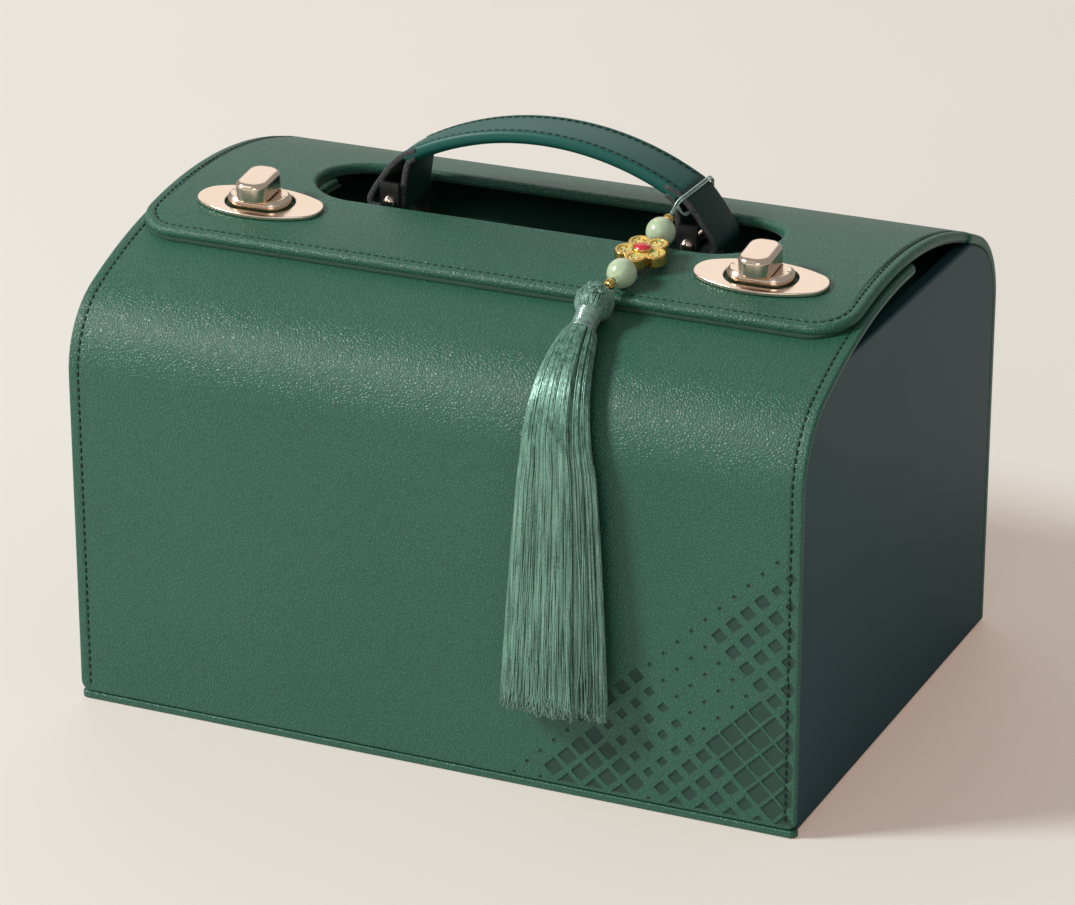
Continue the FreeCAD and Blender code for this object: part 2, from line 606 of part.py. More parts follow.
def leaf_layer(label, outer_inset, inner_inset, width, low):
    outside = curve("Sizes.dome_leaf", outer_inset)
    inside = curve("Sizes.dome_leaf", inner_inset)
    body = shell(label, width, outside, inside, low, "Sizes.wing_end")
    sketch = new_sketch(body, "XY_Plane", f"{label}_openings")
    x, y = NOTCH_SIDE, "Sizes.notch_front"
    behind = "Sizes.wing_end + 10"
    polygon(sketch, [(f"-{x}", f"-{y}"), (x, f"-{y}"), (x, behind), (f"-{x}", behind)])
    slot_middle = "-(Sizes.keeper_front + Sizes.keeper_back) / 2"
    slot_long = "Sizes.keeper_front - Sizes.keeper_back"
    for sign in "-+":
        stadium(sketch, f"{sign}{LOCK_ACROSS}", slot_middle, slot_long, "Sizes.keeper_wide", upright=True)
    for side in (-1, 1):
        corner_cut(sketch, side, 1, f"({width}) / 2", "Sizes.wing_end", "Sizes.wing_corner")
    pocket(body, sketch, f"{label}_cuts")
    round_edges(
        body,
        lambda p: near(abs(p.x), x) and near(p.y, f"-{y}"),
        "Sizes.notch_round",
        f"{label}_notch_corners",
        "Sizes.leaf_board",
    )
    round_edges(
        body,
        lambda p: near(abs(p.x), f"({width}) / 2") and near(p.z, low),
        "Sizes.leaf_corner",
        f"{label}_lower_corners",
        "Sizes.leaf_board",
    )
    return body


def leaf():
    low = "Sizes.base_thick + Sizes.play"
    board = leaf_layer("leaf_board_whole", "0", "Sizes.leaf_board", "Sizes.case_width", low)
    edge = "Sizes.case_width / 2"
    front = doc.addObject("Part::Cut", "front_leaf")
    front.Base, front.Tool = board, leaf_space("all", f"-{edge} - 1", f"{edge} + 1")
    keep(front, "front_leaf")
    near_x, far_x = (f"{LOCK_ACROSS} {sign} Sizes.keeper_wide / 2" for sign in "-+")
    lines = [f"-({edge})", f"-({far_x})", f"-({near_x})", near_x, far_x, edge]
    strips = []
    for number, (low_x, high_x) in enumerate(zip(lines, lines[1:])):
        strip = doc.addObject("Part::Common", f"leaf_strip_{number}")
        strip.Base, strip.Tool = board, leaf_space(number, low_x, high_x)
        strips.append(strip)
    group("leaf_wings", strips)
    inner_width = f"2 * ({SIDE_IN} - Sizes.lining_inset)"
    lining_low = f"{low} + Sizes.lining_inset"
    lining = leaf_layer("leaf_lining", "Sizes.leaf_board", LEAF_INSET, inner_width, lining_low)
    keep(lining, "leaf_lining")


def leaf_space(name, low_x, high_x):
    """The space between two lines of the leaf, from where the keeper slots' sides begin to the back."""
    front = "(Sizes.keeper_front - Sizes.keeper_wide / 2)"
    size = (f"({high_x}) - ({low_x})", f"{front} + Sizes.wing_end + 10", "Sizes.leaf_crown")
    return block(f"leaf_space_{name}", size, (low_x, f"-{front}", "Sizes.base_thick"), final=False)


def keeper(name, sign, side):
    """One of the two steel strips that edge a keeper slot; side is -1 or +1."""
    body = new_body(f"keeper_{name}_{side % 3}", final=False)
    sketch = new_sketch(body, "XY_Plane", f"keeper_{name}_{side % 3}_outline")
    x, far = f"{side} * Sizes.keeper_wide / 2", f"{side} * (Sizes.keeper_wide / 2 + Sizes.strip_wide)"
    y = "Sizes.strip_long / 2"
    polygon(sketch, [(x, f"-{y}"), (far, f"-{y}"), (far, y), (x, y)])
    pad(body, sketch, "Sizes.keeper_thick", f"keeper_{name}_{side % 3}_strip", down=True)
    middle = "((Sizes.keeper_front + Sizes.keeper_back) / 2)"
    inside = f"(Sizes.dome_leaf - {LEAF_INSET})"
    sag = f"(Sizes.strip_long^2 / 8 / {inside} + 0.05)"
    return tilted(body, f"{sign}{LOCK_ACROSS}", middle, inside, f"{inside} - {sag}")


# Turn locks: a flat oval plate on the lid, a boss that fills its hole, a knob on top
# and a shaft down to a cam bar. With the cam bar along the keeper slot the lid lifts; a quarter
# turn puts the bar across the slot, under the keeper plate.

def lock_plate(name, sign):
    body = new_body(f"lock_plate_{name}", final=False)
    sketch = new_sketch(body, "XY_Plane", f"plate_{name}_outline")
    oval(sketch, "Sizes.plate_long / 2", "Sizes.plate_wide / 2", "Sizes.plate_tip")
    stadium(sketch, "0", "0", "Sizes.boss_long + 2 * Sizes.boss_gap", "Sizes.boss_wide + 2 * Sizes.boss_gap")
    pad(body, sketch, "Sizes.plate_thick", f"plate_{name}_sheet")
    return on_lock_line(body, sign, "Sizes.plate_lift")


def oval(sketch, long, wide, tip):
    """Two flat arcs and two end arcs that run into each other; half the length, half the width."""
    middle = f"(({long}) - ({tip}))"
    flat = f"(({middle}^2 + ({wide})^2 - ({tip})^2) / 2 / (({wide}) - ({tip})))"
    end_x, end_radius, flat_radius = value(middle), value(tip), value(flat)
    off = flat_radius - value(wide)
    lean = math.atan2(end_x, off)
    turns = ((math.pi / 2, lean, (0, -off), flat_radius), (math.pi, math.pi / 2 - lean, (-end_x, 0), end_radius))
    arcs = []
    for half in (0, 1):
        for turn, reach, (x, y), radius in turns:
            side = 1 - 2 * half
            place = FreeCAD.Vector(side * x, side * y, 0)
            ring = Part.Circle(place, FreeCAD.Vector(0, 0, 1), radius)
            start = turn + half * math.pi
            arcs.append(sketch.addGeometry(Part.ArcOfCircle(ring, start - reach, start + reach)))
    for arc, after in zip(arcs, arcs[1:] + arcs[:1]):
        sketch.addConstraint(Sketcher.Constraint("Tangent", arc, 2, after, 1))
    for arc, sign in ((arcs[1], "-"), (arcs[3], "")):
        sketch.addConstraint(Sketcher.Constraint("PointOnObject", arc, 3, -1))
        dimension(sketch, "DistanceX", (-1, 1, arc, 3), f"{sign}{middle}")
        dimension(sketch, "Radius", (arc,), tip)
    for arc in arcs[::2]:
        dimension(sketch, "Radius", (arc,), flat)


def lock_boss(name, sign):
    body = new_body(f"lock_boss_{name}", final=False)
    sketch = new_sketch(body, "XY_Plane", f"boss_{name}_outline")
    stadium(sketch, "0", "0", "Sizes.boss_long", "Sizes.boss_wide")
    circle(sketch, "0", "0", "Sizes.shaft_wide / 2 + Sizes.shaft_play")
    pad(body, sketch, "Sizes.boss_tall", f"boss_{name}_block")
    bevel_top(body, "Sizes.boss_tall", "Sizes.boss_bevel", "Sizes.shaft_wide")
    return on_lock_line(body, sign, "Sizes.plate_lift")


def bevel_top(body, height, bevel, clear_of):
    """Bevels the outer top edge, and leaves a hole in the middle as it is."""
    doc.recompute()
    hole = value(clear_of)
    names = []
    for number, edge in enumerate(body.Shape.Edges, 1):
        at_top = all(near(vertex.Z, height) for vertex in edge.Vertexes)
        if at_top and edge.BoundBox.DiagonalLength > hole * 1.6:
            names.append(f"Edge{number}")
    base = body.Tip
    feature = body.newObject("PartDesign::Chamfer", f"{body.Label}_bevel")
    feature.Base = (base, names)
    feature.setExpression("Size", bevel)
    doc.recompute()


def on_lock_line(item, sign, above):
    """Stands a piece of a turn lock over or under its place on the lid."""
    return tilted(item, f"{sign}{LOCK_ACROSS}", "Sizes.lock_forward", LID_OUTSIDE, f"{LID_OUTSIDE} + {above}")


def turn_knob(name, sign):
    foot = "Sizes.plate_lift + Sizes.boss_tall + Sizes.play"
    body = new_body(f"knob_{name}")
    sketch = new_sketch(body, "XY_Plane", f"knob_{name}_outline")
    x, y = "Sizes.knob_wide / 2", "Sizes.knob_long / 2"
    polygon(sketch, [(f"-{x}", f"-{y}"), (x, f"-{y}"), (x, y), (f"-{x}", y)])
    pad(body, sketch, "Sizes.knob_tall", f"knob_{name}_block")
    round_edges(
        body,
        lambda p: near(abs(p.x), x) and near(abs(p.y), y),
        "Sizes.knob_round",
        f"knob_{name}_corners",
        "Sizes.knob_tall",
    )
    bevel_top(body, "Sizes.knob_tall", "Sizes.knob_bevel", "Sizes.play")
    on_lock_line(body, sign, foot)
    shaft = doc.addObject("Part::Cylinder", f"shaft_{name}")
    bind(shaft, Radius="Sizes.shaft_wide / 2", Height=f"Sizes.cam_deep + {foot}")
    on_lock_line(shaft, sign, "(-Sizes.cam_deep)")
    keep(shaft, f"shaft_{name}")
    cam = new_body(f"cam_{name}")
    sketch = new_sketch(cam, "XY_Plane", f"cam_{name}_outline")
    stadium(sketch, "0", "0", "Sizes.cam_long", "Sizes.cam_wide", upright=True)
    pad(cam, sketch, "Sizes.cam_thick", f"cam_{name}_bar", down=True)
    on_lock_line(cam, sign, "(-Sizes.cam_deep)")


# Drawers: each has a front board, a bent wall board round three sides, a floor, felt, and a
# leather pull tab held by two rivets.

def drawer(number):
    name = f"drawer_{number}"
    low = f"Sizes.base_thick + Sizes.plinth_height + {number - 1} * {PITCH} + Sizes.drawer_play"
    tall = f"{PITCH} - Sizes.shelf_thick - Sizes.drawer_play - Sizes.drawer_gap"
    half = f"({SIDE_IN} - Sizes.drawer_play)"
    face = f"(-{DRAWER_FRONT})"
    inner = f"({half} - Sizes.wall_thick)"
    behind = f"({face} + Sizes.front_thick)"
    block(f"{name}_front", (f"2 * {half}", "Sizes.front_thick", tall), (f"-{half}", face, low))
    walls = new_body(f"{name}_walls")
    sketch = new_sketch(walls, "XY_Plane", f"{name}_wall_line")
    rear = f"({DRAWER_BACK} - Sizes.wall_thick)"
    outline = [
        (f"-{half}", behind),
        (f"-{inner}", behind),
        (f"-{inner}", rear),
        (inner, rear),
        (inner, behind),
        (half, behind),
        (half, DRAWER_BACK),
        (f"-{half}", DRAWER_BACK),
    ]
    polygon(sketch, outline)
    pad(walls, sketch, tall, f"{name}_wall_board")
    bind(walls, Placement__Base__z=low)
    inside = (f"2 * {inner}", f"{rear} - {behind}")
    block(f"{name}_floor", (*inside, "Sizes.floor_thick"), (f"-{inner}", behind, low))
    felt_at = (f"-{inner}", behind, f"{low} + Sizes.floor_thick")
    block(f"{name}_felt", (*inside, "Sizes.felt_thick"), felt_at)
    tab = new_body(f"{name}_tab")
    sketch = new_sketch(tab, "YZ_Plane", f"{name}_tab_fold")
    middle = f"({low} + ({tall}) / 2)"
    front = f"({face} - Sizes.tab_reach)"
    flange = f"({face} - Sizes.tab_thick)"
    fold = [
        (face, f"{middle} + Sizes.tab_tall / 2"),
        (flange, f"{middle} + Sizes.tab_tall / 2"),
        (flange, f"{middle} - Sizes.tab_tall / 2 + Sizes.tab_thick"),
        (front, f"{middle} - Sizes.tab_tall / 2 + Sizes.tab_thick"),
        (front, f"{middle} - Sizes.tab_tall / 2"),
        (face, f"{middle} - Sizes.tab_tall / 2"),
    ]
    polygon(sketch, fold)
    pad(tab, sketch, "Sizes.tab_width", f"{name}_tab_leather", middle=True)
    round_edges(
        tab,
        lambda p: near(p.y, front) and near(abs(p.x), "Sizes.tab_width / 2"),
        "Sizes.tab_corner",
        f"{name}_tab_corners",
        "Sizes.tab_thick",
    )
    rivets = []
    for side in "-+":
        rivet = doc.addObject("Part::Cylinder", f"{name}_rivet")
        rivet.Placement = FreeCAD.Placement(FreeCAD.Vector(), FreeCAD.Rotation(FreeCAD.Vector(1, 0, 0), 90))
        bind(rivet, Radius="Sizes.rivet_head / 2", Height="Sizes.rivet_thick")
        bind(rivet, Placement__Base__x=f"{side}Sizes.tab_width / 4", Placement__Base__y=flange)
        bind(rivet, Placement__Base__z=f"{middle} + Sizes.tab_thick / 2")
        rivets.append(rivet)
    group(f"{name}_rivets", rivets)


# Handle: two steel brackets on the top board each hold a bar. A strap loop hangs on each bar and
# ends in the arched grip; the loops are longer than the bars are thick, so the handle can sink.

ARCH = "((Sizes.grip_span^2 / 4 + Sizes.grip_rise^2) / 2 / Sizes.grip_rise)"
GRIP_END = "(Sizes.grip_span / 2)"
GRIP_END_HEIGHT = f"({GRIP_TOP} - Sizes.grip_thick / 2 - Sizes.grip_rise)"


def bracket(name, sign):
    ground = f"{TOP_HEIGHT} + Sizes.top_thick"
    post_in = "(Sizes.strap_wide / 2 + Sizes.strap_room)"
    post_out = f"({post_in} + Sizes.post_thick)"
    middle = f"{sign}Sizes.bar_across"
    parts = [
        block(
            f"bracket_{name}_foot",
            ("Sizes.foot_long", f"2 * {post_out}", "Sizes.bracket_plate"),
            (f"{middle} - Sizes.foot_long / 2", f"Sizes.handle_back - {post_out}", ground),
            final=False,
        )
    ]
    for side, y in (("front", f"Sizes.handle_back - {post_out}"), ("back", f"Sizes.handle_back + {post_in}")):
        size = ("Sizes.post_wide", "Sizes.post_thick", f"{BAR_HEIGHT} - {ground}")
        corner = (f"{middle} - Sizes.post_wide / 2", y, ground)
        parts.append(block(f"bracket_{name}_{side}", size, corner, final=False))
        cap = doc.addObject("Part::Cylinder", f"bracket_{name}_{side}_cap")
        cap.Placement = FreeCAD.Placement(FreeCAD.Vector(), FreeCAD.Rotation(FreeCAD.Vector(1, 0, 0), -90))
        bind(cap, Radius="Sizes.post_wide / 2", Height="Sizes.post_thick")
        bind(cap, Placement__Base__x=middle, Placement__Base__y=y, Placement__Base__z=BAR_HEIGHT)
        parts.append(cap)
    whole = doc.addObject("Part::MultiFuse", f"bracket_{name}")
    whole.Shapes = parts
    return whole


def bars_and_screws():
    bars, screws = [], []
    for _, sign in LEFT_AND_RIGHT:
        bar = doc.addObject("Part::Cylinder", "handle_bar")
        bar.Placement = FreeCAD.Placement(FreeCAD.Vector(), FreeCAD.Rotation(FreeCAD.Vector(1, 0, 0), -90))
        half = "(Sizes.strap_wide / 2 + Sizes.strap_room)"
        bind(bar, Radius="Sizes.bar_wide / 2", Height=f"2 * {half}")
        bind(bar, Placement__Base__x=f"{sign}Sizes.bar_across")
        bind(bar, Placement__Base__y=f"Sizes.handle_back - {half}", Placement__Base__z=BAR_HEIGHT)
        bars.append(bar)
        for side in "-+":
            screw = doc.addObject("Part::Cylinder", "bracket_screw")
            bind(screw, Radius="Sizes.screw_head / 2", Height="Sizes.screw_tall")
            bind(screw, Placement__Base__x=f"{sign}Sizes.bar_across {side} Sizes.foot_long / 3")
            bind(screw, Placement__Base__y="Sizes.handle_back")
            bind(screw, Placement__Base__z=f"{TOP_HEIGHT} + Sizes.top_thick + Sizes.bracket_plate")
            screws.append(screw)
    group("handle_bars", bars)
    group("bracket_screws", screws)


def grip():
    body = new_body("handle_grip")
    centre = f"({GRIP_END_HEIGHT} + Sizes.grip_rise - {ARCH})"
    outer, inner = f"({ARCH} + Sizes.grip_thick / 2)", f"({ARCH} - Sizes.grip_thick / 2)"
    reach = [f"{GRIP_END} * {radius} / {ARCH}" for radius in (outer, inner)]
    arcs = [(radius, f"-{end}", end) for radius, end in zip((outer, inner), reach)]
    arc_board(body, "XZ_Plane", centre, *arcs, "Sizes.grip_wide")
    half = "Sizes.grip_wide / 2"
    low = value(f"{GRIP_END_HEIGHT} - Sizes.grip_thick")
    names = []
    for number, edge in enumerate(body.Shape.Edges, 1):
        long_edge = edge.Length > value("Sizes.grip_span") * 0.8
        if long_edge and all(near(abs(v.Y), half) and v.Z > low for v in edge.Vertexes):
            names.append(f"Edge{number}")
    base = body.Tip
    feature = body.newObject("PartDesign::Fillet", "grip_rolled_edges")
    feature.Base = (base, names)
    feature.setExpression("Radius", "Sizes.grip_round")
    bind(body, Placement__Base__y="Sizes.handle_back")


def strap_loop(name, sign):
    body = new_body(f"strap_loop_{name}", final=False)
    sketch = new_sketch(body, "XZ_Plane", f"strap_{name}_line")
    x, z = "Sizes.bar_across", BAR_HEIGHT
    end_x, end_z = GRIP_END, GRIP_END_HEIGHT
    under = "Sizes.bar_wide / 2"
    lean = f"({GRIP_END} / {ARCH})"
    rise = f"sqrt(1 - {lean}^2)"
    neck = "(Sizes.grip_thick / 2 - 0.2)"
    thick = "Sizes.strap_thick"
    outer = [
        (f"{end_x} + {neck} * {lean}", f"{end_z} + {neck} * {rise}"),
        (f"{end_x} + 5.2", f"{end_z} - 0.8"),
        (f"{x} + 6.8", f"{z} + 7.5"),
        (f"{x} + Sizes.loop_out - 0.7", f"{z} + 1.2"),
        (f"{x} + Sizes.loop_out", f"{z} - 1.6"),
        (f"{x} + Sizes.loop_out - 1.6", f"{z} - {under} - 0.1 - {thick}"),
        (f"{x} - Sizes.loop_in + 1.2", f"{z} - {under} - 0.1 - {thick}"),
        (f"{x} - Sizes.loop_in", f"{z} - 1.2"),
        (f"{x} - Sizes.loop_in", f"{z} + 3"),
        (f"{end_x} - {neck} * {lean}", f"{end_z} - {neck} * {rise}"),
    ]
    inner = [
        (f"{end_x} + 3", f"{end_z} - 2.6"),
        (f"{x} + 6.8 - 0.83 * {thick}", f"{z} + 7.5 - 0.6 * {thick}"),
        (f"{x} + Sizes.loop_out - 0.7 - {thick}", f"{z} + 0.4"),
        (f"{x} + Sizes.loop_out - 1.2 - {thick}", f"{z} - {under} - 0.1"),
        (f"{x} - Sizes.loop_in + 0.6 + {thick}", f"{z} - {under} - 0.1"),
        (f"{x} - Sizes.loop_in + {thick}", f"{z} - 0.4"),
        (f"{x} - Sizes.loop_in + {thick}", f"{z} + 3"),
        (f"{end_x} + 1.3", f"{end_z} - 2.6"),
    ]
    polygon(sketch, [(f"{sign}({a})", b) for a, b in outer])
    polygon(sketch, [(f"{sign}({a})", b) for a, b in inner])
    pad(body, sketch, "Sizes.strap_wide", f"strap_{name}_leather", middle=True)
    return bind(body, Placement__Base__y="Sizes.handle_back")


# Charm: a doubled thread goes round the handle's right end and carries beads of jade and gold, an
# enamelled flower and a silk tassel. It lies over the lid and hangs down in front of the leaf.

def point(name):
    """A point of the charm, from its three cells."""
    return FreeCAD.Vector(*(value(f"Sizes.{name}_{axis}") for axis in "xyz"))


def thread_wire(points):
    """Straight runs joined by arcs that are as large as the runs on both sides allow."""
    edges, start = [], points[0]
    for before, corner, after in zip(points, points[1:], points[2:]):
        back, ahead = before - corner, after - corner
        half = (math.pi - back.getAngle(ahead)) / 2
        cut = 0.45 * min(back.Length, ahead.Length)
        radius = cut / math.tan(half)
        back.normalize()
        ahead.normalize()
        one, two = corner + back * cut, corner + ahead * cut
        inward = back + ahead
        inward.normalize()
        top = corner + inward * (radius / math.cos(half) - radius)
        edges.append(Part.LineSegment(start, one).toShape())
        edges.append(Part.Arc(one, top, two).toShape())
        start = two
    edges.append(Part.LineSegment(start, points[-1]).toShape())
    return Part.Wire(edges)


LOOP_POINTS = ("loop_a", "loop_b", "loop_c", "loop_d", "loop_e", "loop_f", "thread_a")
BEAD_POINTS = ("bead_a", "flower", "bead_b", "thread_b")


def bored_bead(label, diameter, middle, direction):
    ball = doc.addObject("Part::Sphere", f"{label}_ball")
    hole = doc.addObject("Part::Cylinder", f"{label}_hole")
    bind(ball, Radius=f"{diameter} / 2")
    bind(hole, Radius="Sizes.bead_bore / 2", Height=f"{diameter} + 2")
    length = value(f"{diameter} + 2")
    turn = FreeCAD.Rotation(FreeCAD.Vector(0, 0, 1), direction)
    ball.Placement = FreeCAD.Placement(middle, turn)
    hole.Placement = FreeCAD.Placement(middle - direction * (length / 2), turn)
    bead = doc.addObject("Part::Cut", label)
    bead.Base = ball
    bead.Tool = hole
    return keep(bead, label)


def unit(vector):
    """The same direction, one long."""
    copy = FreeCAD.Vector(vector)
    copy.normalize()
    return copy


def charm():
    places = [point(name) for name in LOOP_POINTS + BEAD_POINTS]
    knot = point("knot")
    knot_radius = value("Sizes.knot_wide / 2")
    places.append(knot + unit(places[-1] - knot) * knot_radius)
    wire = thread_wire(places)
    ring = Part.Circle(places[0], places[1] - places[0], value("Sizes.cord_wide / 2"))
    pipe = wire.makePipeShell([Part.Wire([ring.toShape()])], True, False)
    thread = doc.addObject("Part::Feature", "charm_thread")
    thread.Shape = pipe
    keep(thread, "charm_thread")
    thread_a, bead_a, flower, bead_b, thread_b = places[len(LOOP_POINTS) - 1 : -1]
    stops = (thread_a, bead_a, flower, bead_b, thread_b)
    into_a, to_flower, from_flower, out_of_b = (unit(two - one) for one, two in zip(stops, stops[1:]))
    bored_bead("jade_bead_upper", "Sizes.jade_wide", bead_a, unit(into_a + to_flower))
    bored_bead("jade_bead_lower", "Sizes.jade_wide", bead_b, unit(from_flower + out_of_b))
    apart = value("(Sizes.jade_wide + Sizes.gold_wide) / 2")
    bored_bead("gold_bead_upper", "Sizes.gold_wide", bead_a - into_a * apart, into_a)
    bored_bead("gold_bead_lower", "Sizes.gold_wide", bead_b + out_of_b * apart, out_of_b)
    flower_charm(flower, unit(to_flower + from_flower))
    head = doc.addObject("Part::Sphere", "tassel_knot")
    bind(head, Radius="Sizes.knot_wide / 2")
    head.Placement.Base = knot
    keep(head, "tassel_knot")
    tassel(knot, knot_radius)


def flower_charm(middle, direction):
    body = doc.addObject("PartDesign::Body", "flower_plate")
    sketch = new_sketch(body, "XY_Plane", "flower_eye")
    circle(sketch, "0", "0", "Sizes.flower_reach * 0.8")
    pad(body, sketch, "Sizes.flower_thick", "flower_middle", middle=True)
    sketch = new_sketch(body, "XY_Plane", "petal_line")
    circle(sketch, "0", "Sizes.flower_reach", "Sizes.petal_wide / 2")
    petal = pad(body, sketch, "Sizes.flower_thick", "petal", middle=True)
    doc.recompute()
    pattern = body.newObject("PartDesign::PolarPattern", "petals")
    pattern.Originals = [petal]
    pattern.Axis = (sketch, ["N_Axis"])
    pattern.Occurrences = 5
    body.Tip = pattern
    side = direction.cross(FreeCAD.Vector(0, 0, 1))
    turn = FreeCAD.Rotation(side, FreeCAD.Vector(), side.cross(direction), "ZXY")
    body.Placement = FreeCAD.Placement(middle, turn)
    hole = doc.addObject("Part::Cylinder", "flower_hole")
    bind(hole, Radius="Sizes.bead_bore / 2", Height="4 * Sizes.flower_reach")
    start = middle - direction * value("2 * Sizes.flower_reach")
    hole.Placement = FreeCAD.Placement(start, FreeCAD.Rotation(FreeCAD.Vector(0, 0, 1), direction))
    cut = doc.addObject("Part::Cut", "flower_charm")
    cut.Base = body
    cut.Tool = hole
    keep(cut, "flower_charm")
    stone = doc.addObject("Part::Ellipsoid", "flower_stone")
    bind(stone, Radius1="Sizes.stone_tall", Radius2="Sizes.stone_long / 2", Radius3="Sizes.stone_short / 2")
    stone.Angle1 = 0
    up = side.cross(direction)
    up.normalize()
    top = middle + up * value("Sizes.flower_thick / 2")
    stone.Placement = FreeCAD.Placement(top, turn)
    keep(stone, "flower_stone")


def tassel(knot, knot_radius):
    """Binding below the knot, then the skirt that hangs down in front."""
    top, end = point("binding"), point("skirt_top")
    direction = unit(end - top)
    cylinder = doc.addObject("Part::Cylinder", "binding_thread")
    bind(cylinder, Radius="Sizes.binding_wide / 2")
    cylinder.Height = (end - top).Length
    cylinder.Placement = FreeCAD.Placement(top, FreeCAD.Rotation(FreeCAD.Vector(0, 0, 1), direction))
    ball = doc.addObject("Part::Sphere", "binding_seat")
    bind(ball, Radius="Sizes.knot_wide / 2")
    ball.Placement.Base = knot
    cut = doc.addObject("Part::Cut", "tassel_binding")
    cut.Base = cylinder
    cut.Tool = ball
    keep(cut, "tassel_binding")
    skirt = doc.addObject("Part::Feature", "tassel_skirt")
    skirt.Shape = Part.makeLoft(skirt_sections(end, direction), True, True)
    keep(skirt, "tassel_skirt")


def skirt_sections(top, direction):
    """Oval sections from the binding round the case's front corner and straight down."""
    depth, corner = value("Sizes.case_depth / 2"), value("Sizes.corner_round")
    turn_y = corner - depth
    large = value("Sizes.dome_leaf") - corner
    turn_z = value(DOME_CENTRE) + math.sqrt(large ** 2 - turn_y ** 2)
    top_wide, end_wide = value("Sizes.skirt_top_wide"), value("Sizes.skirt_end_wide")
    top_deep, end_deep = top_wide * 0.42, value("Sizes.skirt_end_deep") / 2
    mid_wide = value("Sizes.skirt_mid_wide")
    low, hang_x = value("Sizes.skirt_end"), value("Sizes.skirt_x")
    stations = [(top, direction, top_wide / 2, top_deep)]
    start = math.atan2(turn_y - top.y, top.z - turn_z)
    for share in (0.25, 0.5, 0.75, 1.0):
        angle = start + (math.pi / 2 - start) * share
        deep = top_deep * (1 - share) + end_deep * 0.62 * share
        wide = top_wide / 2 + (mid_wide - top_wide) / 2 * share ** 0.75
        out = corner + deep + 1.0
        place = FreeCAD.Vector(
            top.x + (hang_x - top.x) * share,
            turn_y - out * math.sin(angle),
            turn_z + out * math.cos(angle),
        )
        stations.append((place, FreeCAD.Vector(0, -math.cos(angle), -math.sin(angle)), wide, deep))
    start_wide, start_deep = stations[-1][2:]
    for share in (0.25, 0.5, 0.75, 1.0):
        deep = start_deep + (end_deep - start_deep) * share
        wide = start_wide + (end_wide / 2 - start_wide) * share ** 0.7
        place = FreeCAD.Vector(hang_x, -depth - deep - 1.0, turn_z + (low - turn_z) * share)
        stations.append((place, FreeCAD.Vector(0, 0, -1), wide, deep))
    wires = []
    for centre, axis, wide, deep in stations:
        oval = Part.Ellipse(FreeCAD.Vector(), wide, deep)
        wire = Part.Wire([oval.toShape()])
        turn = FreeCAD.Rotation(FreeCAD.Vector(1, 0, 0), FreeCAD.Vector(), unit(axis), "ZXY")
        wire.Placement = FreeCAD.Placement(centre, turn)
        wires.append(wire)
    return wires


def check_objects():
    """Stops on any object that failed, and on any sub-part that isn't a sound solid."""
    doc.recompute()
    for item in doc.Objects:
        if {"Invalid", "Error"} & set(item.State):
            raise RuntimeError(f"{item.Label} failed: {item.State}")
    for item in nodes:
        if item.Shape.isNull() or not item.Shape.isValid() or item.Shape.Volume <= 0:
            raise RuntimeError(f"{item.Label} isn't a sound solid")


base_board()
plinth_rails()
for name, sign in LEFT_AND_RIGHT:
    side_panel(name, sign)
back_panel()
flat_board("top_board", TOP_FRONT, TOP_BACK, TOP_HEIGHT, "Sizes.top_thick")
shelves()
lid()
leaf()
group("keepers", [keeper(name, sign, side) for name, sign in LEFT_AND_RIGHT for side in (-1, 1)])
PAIRS = (
    ("lock_plates", lock_plate),
    ("lock_bosses", lock_boss),
    ("handle_brackets", bracket),
    ("strap_loops", strap_loop),
)
for label, make in PAIRS:
    group(label, [make(name, sign) for name, sign in LEFT_AND_RIGHT])
for name, sign in LEFT_AND_RIGHT:
    turn_knob(name, sign)
bars_and_screws()
grip()
for number in (1, 2, 3, 4):
    drawer(number)
charm()

check_objects()
for item in nodes:
    item.Shape.exportStep(f"parts/{item.Label}.step")
print(f"{len(nodes)} sub-parts written")
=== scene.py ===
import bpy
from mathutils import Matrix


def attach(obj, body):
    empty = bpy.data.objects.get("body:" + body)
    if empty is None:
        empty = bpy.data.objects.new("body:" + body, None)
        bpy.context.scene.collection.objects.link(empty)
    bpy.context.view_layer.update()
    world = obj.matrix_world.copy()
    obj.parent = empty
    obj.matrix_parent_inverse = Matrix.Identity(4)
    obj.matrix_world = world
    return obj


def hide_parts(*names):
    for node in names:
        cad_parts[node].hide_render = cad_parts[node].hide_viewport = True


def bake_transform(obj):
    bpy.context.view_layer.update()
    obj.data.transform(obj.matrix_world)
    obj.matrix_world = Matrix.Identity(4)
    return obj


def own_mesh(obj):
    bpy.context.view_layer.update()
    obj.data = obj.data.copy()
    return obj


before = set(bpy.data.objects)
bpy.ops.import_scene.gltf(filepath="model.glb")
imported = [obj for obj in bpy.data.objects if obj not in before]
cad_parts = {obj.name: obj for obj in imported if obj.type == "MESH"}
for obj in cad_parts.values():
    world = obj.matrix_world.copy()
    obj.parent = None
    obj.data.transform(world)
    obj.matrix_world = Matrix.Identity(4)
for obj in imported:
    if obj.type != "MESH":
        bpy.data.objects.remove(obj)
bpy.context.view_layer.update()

import math

import bmesh
import bpy
import numpy as np
from mathutils import Vector

# Studio: a pale floor that runs out of view on all sides, a large soft lamp on the left as the
# main light, a weaker one in front and a pale sky, all at a level at which colours stay as mixed.

lens = bpy.data.cameras.new("camera")
lens.sensor_width = 36.0
lens.lens = 148.1
lens.clip_end = 20.0
camera = bpy.data.objects.new("camera", lens)
camera.location = (0.6601, -1.4678, 0.7404)
camera_down, camera_round = 22.05, 24.29
camera.rotation_euler = (math.radians(90 - camera_down), 0, math.radians(camera_round))
bpy.context.scene.collection.objects.link(camera)
bpy.context.scene.camera = camera
bpy.context.scene.view_settings.view_transform = "Standard"


